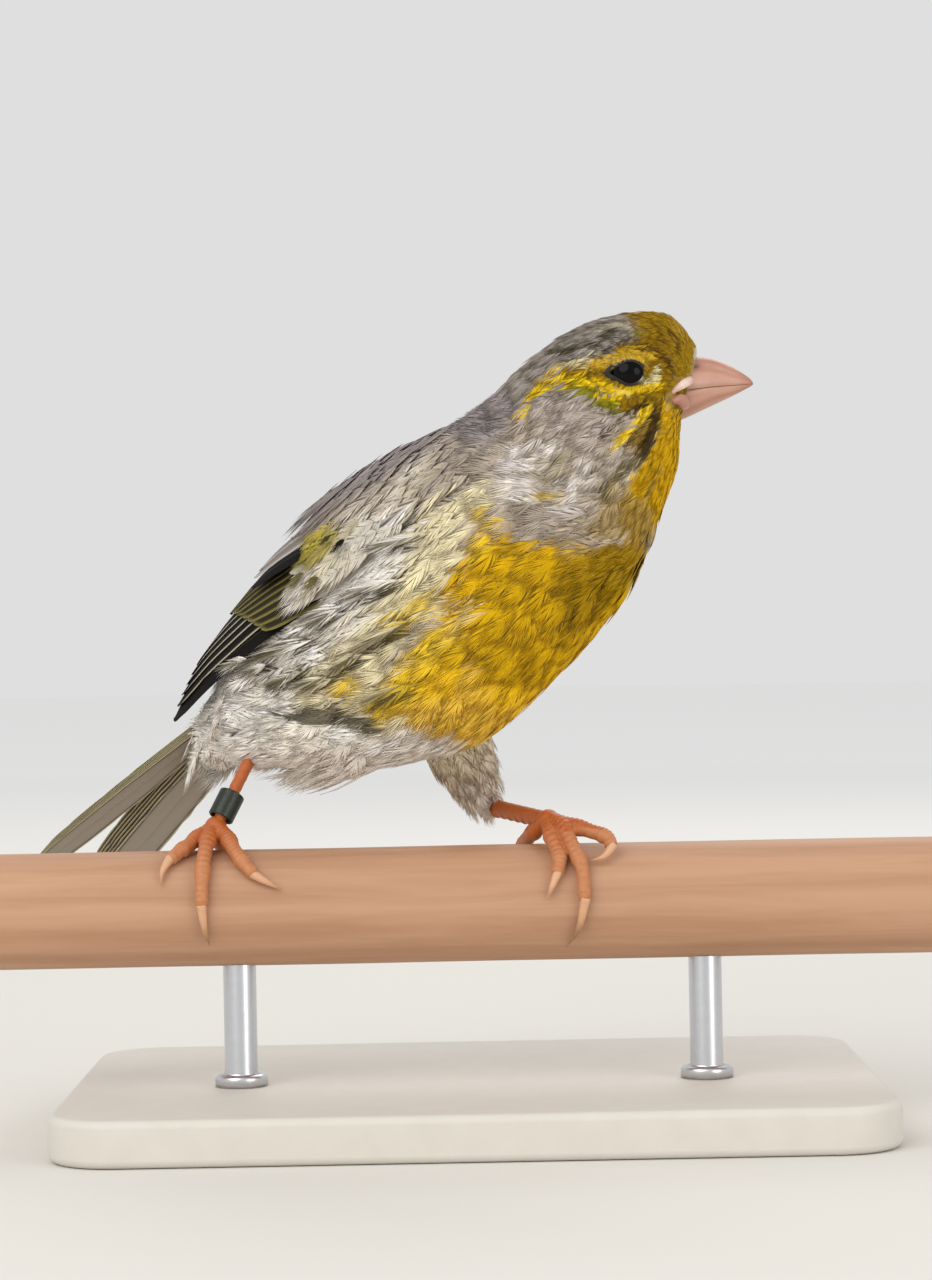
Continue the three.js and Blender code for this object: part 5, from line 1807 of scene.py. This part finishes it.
class CANARY_OT_legs(CanaryOperator, bpy.types.Operator):
    """Add the scaly shanks, the feet that grip the perch, and the claws"""

    bl_idname = "canary.legs"
    bl_label = "Legs"

    def execute(self, context):
        group = context.scene.canary_legs
        hide = painted_material(
            "leg_scales", 1400, 0.16, 0.5, 0.00006, Subsurface_Weight=0.15, Subsurface_Scale=0.001)
        horn = painted_material(
            "claw_horn", 1800, 0.12, 0.3, 0.00003, Subsurface_Weight=0.2, Subsurface_Scale=0.0008)
        for label, leg in LEGS.items():
            piece = object_from_bmesh(f"shank_{label}", shank(leg))
            self.colour(group, piece, leg)
            settle(piece, hide, (f"leg_{label}",))
            pieces = [sphere(TOE["ball"] * MM, on_perch(leg["ball"]), 24)]
            pieces += [toe(leg, points) for points in leg["toes"]]
            piece = remeshed(f"toes_{label}", pieces, group.foot_voxel, 1)
            self.colour(group, piece, leg)
            settle(piece, hide, (f"foot_{label}",))
            for number, points in enumerate(leg["toes"], 1):
                piece = object_from_bmesh(f"nail_{label}_{number}", claw(points))
                away = np.linalg.norm(places_of(piece) - on_perch(points[-3]), axis=1) / MM
                dark = smooth(1.2, 5.0, away)
                paint(piece, "tint", toward(palette(group, "skin_pale"), palette(group, "claw_horn"), dark))
                settle(piece, horn, (f"claw_{label}_{number}",))
        return {"FINISHED"}

    def colour(self, group, piece, leg):
        """Orange on the shank, pinker and a little paler down the toes, and pale at the pads."""
        points = places_of(piece)
        reach = np.hypot(*(points - PERCH_CENTRE).T[1:])
        low = 1 - smooth(PERCH_RADIUS + 0.1 * MM, PERCH_RADIUS + 1.2 * MM, reach)
        out = smooth(1.5 * MM, 9 * MM, np.linalg.norm(points - on_perch(leg["ball"]), axis=1))
        out = out * (reach < PERCH_RADIUS + 3.2 * MM)
        orange, pink, pale = (palette(group, f"skin_{tone}") for tone in ("orange", "pink", "pale"))
        amount = np.clip(low * 0.6 + out * 0.25, 0, 0.8)
        paint(piece, "tint", toward(toward(orange, pink, out), pale, amount))


class CANARY_OT_ring(CanaryOperator, bpy.types.Operator):
    """Add the closed ring on the right leg"""

    bl_idname = "canary.ring"
    bl_label = "Leg ring"

    def execute(self, context):
        group = context.scene.canary_legs
        top, foot = shank_ends(LEGS["right"])
        tall, inner, outer = BAND["height"] / 2 * MM, BAND["inner"] * MM, BAND["outer"] * MM
        round_edge = 0.12 * MM
        profile = [
            (inner, round_edge - tall), (inner + round_edge, -tall), (outer - round_edge, -tall),
            (outer, round_edge - tall), (outer, tall - round_edge), (outer - round_edge, tall),
            (inner + round_edge, tall), (inner, tall - round_edge)]
        bm = lathe(profile, 72, between((top, foot), BAND["along"]), top - foot)
        piece = object_from_bmesh("ring_band", bm)
        paint(piece, "tint", palette(group, "ring"))
        material = painted_material("ring_metal", 2600, 0.5, 0.38, 0.00004, Metallic=0.75)
        settle(piece, material, ("leg_band",))
        piece.modifiers.new("crisp", "WEIGHTED_NORMAL")
        return {"FINISHED"}


# Perch and stand

STEEL = (0.62, 0.63, 0.65)


def colour_ramp(tree, share, stops):
    """A colour read off a row of places with colours."""
    ramp = add(tree, "ShaderNodeValToRGB", {"Fac": share})
    elements = ramp.color_ramp.elements
    while len(elements) < len(stops):
        elements.new(1)
    for element, (place, colour) in zip(elements, stops):
        element.position = place
        element.color = (*colour, 1)
    return ramp.outputs["Color"]


def wood_material(group):
    """Long grain along the perch with rings on its ends."""
    material, tree, shader = new_material("perch_wood", 0.55, Specular_IOR_Level=0.35)
    places = object_places(tree)
    stretch = add(tree, "ShaderNodeMapping", {"Vector": places, "Scale": (24, 420, 420)})
    grain = add(tree, "ShaderNodeTexNoise", {
        "Vector": stretch.outputs["Vector"], "Scale": 1.0, "Detail": 6.0, "Roughness": 0.62,
        "Distortion": 0.5}).outputs["Fac"]
    rings = add(
        tree, "ShaderNodeMapping", {"Vector": places, "Scale": (6, 180, 180), "Location": (0, 1.6, -4.1)})
    wave = add(tree, "ShaderNodeTexWave", {
        "Vector": rings.outputs["Vector"], "Scale": 0.5, "Distortion": 3.0, "Detail": 3.0,
        "Detail Scale": 0.8}, wave_type="RINGS", rings_direction="X")
    both = add(tree, "ShaderNodeMath", {0: wave.outputs["Fac"], 1: 0.16, 2: grain}, operation="MULTIPLY_ADD")
    stops = ((0.3, group.wood_dark), (0.72, group.wood_light))
    feed(tree, shader.inputs["Base Color"], colour_ramp(tree, both.outputs[0], stops))
    relief(tree, shader, grain, 0.3, 0.00015)
    return material


class CANARY_OT_perch(CanaryOperator, bpy.types.Operator):
    """Add the cut length of round perch"""

    bl_idname = "canary.perch"
    bl_label = "Perch"

    def execute(self, context):
        group = context.scene.canary_stand
        rng = np.random.default_rng(5)
        waves = rng.uniform(-1, 1, (4, 3))
        end, chamfer = PERCH_LENGTH / 2, 0.7 * MM

        def place(turn, along, reach):
            x = between((-end, end), along)
            angle = turn * 2 * math.pi
            trim = np.clip(chamfer - (end - np.abs(x)), 0, chamfer)
            dents = sum(
                w[0] * np.sin(x / MM * (0.06 + 0.03 * k) + angle * k + w[1] * 3) for k, w in enumerate(waves))
            radius = (PERCH_RADIUS - trim - 0.05 * MM + dents * 0.02 * MM) * reach
            local = np.stack([x, radius * np.sin(angle), radius * np.cos(angle)], -1)
            return PERCH_CENTRE + local

        piece = object_from_bmesh("perch_dowel", tube(96, 190, place))
        settle(piece, wood_material(group), ("perch",))
        return {"FINISHED"}


class CANARY_OT_stand(CanaryOperator, bpy.types.Operator):
    """Add the display base and its two rods"""

    bl_idname = "canary.stand"
    bl_label = "Display stand"

    def execute(self, context):
        group = context.scene.canary_stand
        low, high = corners("stand_base")
        bm = bmesh.new()
        bmesh.ops.create_cube(bm, size=1)
        bmesh.ops.scale(bm, vec=Vector(high - low), verts=bm.verts)
        bmesh.ops.translate(bm, vec=Vector((low + high) / 2), verts=bm.verts)
        tall = 0.5 * (high - low)[2]
        uprights = [e for e in bm.edges if abs(e.verts[0].co.z - e.verts[1].co.z) > tall]
        bmesh.ops.bevel(
            bm, geom=uprights, offset=9 * MM, segments=16, affect="EDGES", profile=0.5, material=-1)
        rims = [e for e in bm.edges if abs(e.verts[0].co.z - e.verts[1].co.z) < 1e-6
                and len(e.link_faces) == 2 and abs(e.calc_face_angle(0)) > 1.2]
        bmesh.ops.bevel(
            bm, geom=rims, offset=group.bevel, segments=5, affect="EDGES", profile=0.5, material=-1)
        base = object_from_bmesh("display_base", bm)
        base.modifiers.new("crisp", "WEIGHTED_NORMAL")
        paint(base, "tint", palette(group, "base_paint"))
        settle(base, painted_material("base_paint", 260, 0.05, 0.55, 0.00008), ("stand_base",))
        steel, tree, shader = new_material("rod_steel", 0.28, Metallic=1.0)
        grain = mottled(tree, shader, plain_colour(tree, STEEL), 900, 0.06)
        relief(tree, shader, grain, 0.15, 0.00003)
        for label, _ in SIDES:
            low, high = corners(f"stand_rod_{label}")
            radius = (high[0] - low[0]) / 2
            top = high[2] - low[2] + 0.2 * MM
            collar = radius + 1.3 * MM
            profile = [
                (1e-6, -0.4 * MM), (collar, -0.4 * MM), (collar, 0.9 * MM), (collar - 0.4 * MM, 1.3 * MM),
                (radius, 1.5 * MM), (radius, top), (1e-6, top)]
            centre = ((low[0] + high[0]) / 2, (low[1] + high[1]) / 2, low[2])
            piece = object_from_bmesh(f"display_rod_{label}", lathe(profile, 64, centre, (0, 0, 1)))
            piece.modifiers.new("crisp", "WEIGHTED_NORMAL")
            settle(piece, steel, (f"stand_rod_{label}",))
        return {"FINISHED"}


# Stage


CAMERA = {"place": (0, -0.457, 0.0648), "lens": 95, "film": 36, "roll": -1.1}
LIGHT_TARGET = (0, -0.005, 0.07)
PAPER_FAR = (0.975, 0.975, 0.97)


def area_light(name, watts, size, place):
    data = bpy.data.lights.new(name, "AREA")
    data.energy = watts
    data.shape = "DISK"
    data.size = size
    light = object_of(name, data)
    light.location = place
    light.rotation_euler = (Vector(LIGHT_TARGET) - Vector(place)).to_track_quat("-Z", "Y").to_euler()
    light.visible_camera = False


class CANARY_OT_stage(CanaryOperator, bpy.types.Operator):
    """Add the pale floor, the soft lights and the camera"""

    bl_idname = "canary.stage"
    bl_label = "Stage"

    def execute(self, context):
        group = context.scene.canary_stage
        scene = context.scene
        bm = bmesh.new()
        bmesh.ops.create_circle(bm, cap_ends=True, segments=96, radius=4.0)
        bmesh.ops.translate(bm, vec=(0, 0, -0.00005), verts=bm.verts)
        floor = object_from_bmesh("floor", bm)
        material, tree, shader = new_material("floor_paper", 0.85, Specular_IOR_Level=0)
        away = add(tree, "ShaderNodeVectorMath", {0: object_places(tree)}, operation="LENGTH")
        scaled = add(tree, "ShaderNodeMath", {0: away.outputs["Value"], 1: 0.25}, operation="MULTIPLY")
        tones = np.array(group.floor), np.array(PAPER_FAR)
        stops = [(place, between(tones, share)) for place, share in
                 ((0.06, 0.0), (0.15, 0.35), (0.24, 0.8), (0.32, 1.0), (1.0, 1.0))]
        feed(tree, shader.inputs["Base Color"], colour_ramp(tree, scaled.outputs[0], stops))
        floor.data.materials.append(material)
        world = bpy.data.worlds.new("studio")
        world.use_nodes = True
        sky = world.node_tree.nodes["Background"]
        sky.inputs["Color"].default_value = (*srgb(236, 236, 236), 1)
        sky.inputs["Strength"].default_value = group.sky
        scene.world = world
        area_light("key", group.key, 0.8, (-0.42, -0.58, 0.54))
        area_light("fill", group.fill, 0.5, (0.55, -0.6, 0.25))
        area_light("back", group.fill * 0.9, 0.5, (0.1, 0.55, 0.6))
        scene.view_settings.view_transform = "Standard"
        data = bpy.data.cameras.new("camera")
        data.sensor_fit = "VERTICAL"
        data.sensor_height = CAMERA["film"]
        data.lens = CAMERA["lens"]
        data.clip_start = 0.01
        camera = object_of("camera", data)
        camera.location = CAMERA["place"]
        roll = Euler((0, 0, rad(CAMERA["roll"]))).to_matrix()
        camera.rotation_euler = (Euler((math.pi / 2, 0, 0)).to_matrix() @ roll).to_euler()
        scene.camera = camera
        return {"FINISHED"}


PIECES = (
    CANARY_OT_stage, CANARY_OT_skin, CANARY_OT_coat, CANARY_OT_flanks, CANARY_OT_wings, CANARY_OT_tail,
    CANARY_OT_bill, CANARY_OT_eyes, CANARY_OT_legs, CANARY_OT_ring, CANARY_OT_perch, CANARY_OT_stand,
)
GROUPS = {
    "canary_plumage": CanaryPlumage,
    "canary_flight": CanaryFlight,
    "canary_head": CanaryHead,
    "canary_legs": CanaryLegs,
    "canary_stand": CanaryStand,
    "canary_stage": CanaryStage,
}


class CANARY_PT_panel(bpy.types.Panel):
    bl_idname = "CANARY_PT_panel"
    bl_label = "Perched canary"
    bl_space_type = "VIEW_3D"
    bl_region_type = "UI"
    bl_category = "Canary"

    def draw(self, context):
        for piece in PIECES:
            self.layout.operator(piece.bl_idname)
        for name, group in GROUPS.items():
            box = self.layout.box()
            for prop in group.__annotations__:
                box.prop(getattr(context.scene, name), prop)


def register():
    for name, group in GROUPS.items():
        bpy.utils.register_class(group)
        setattr(bpy.types.Scene, name, PointerProperty(type=group))
    for piece in (*PIECES, CANARY_PT_panel):
        bpy.utils.register_class(piece)


def unregister():
    for piece in (*PIECES, CANARY_PT_panel):
        bpy.utils.unregister_class(piece)
    for name, group in GROUPS.items():
        delattr(bpy.types.Scene, name)
        bpy.utils.unregister_class(group)


def main():
    register()
    for piece in PIECES:
        category, name = piece.bl_idname.split(".")
        getattr(getattr(bpy.ops, category), name)()


if __name__ == "__main__":
    main()
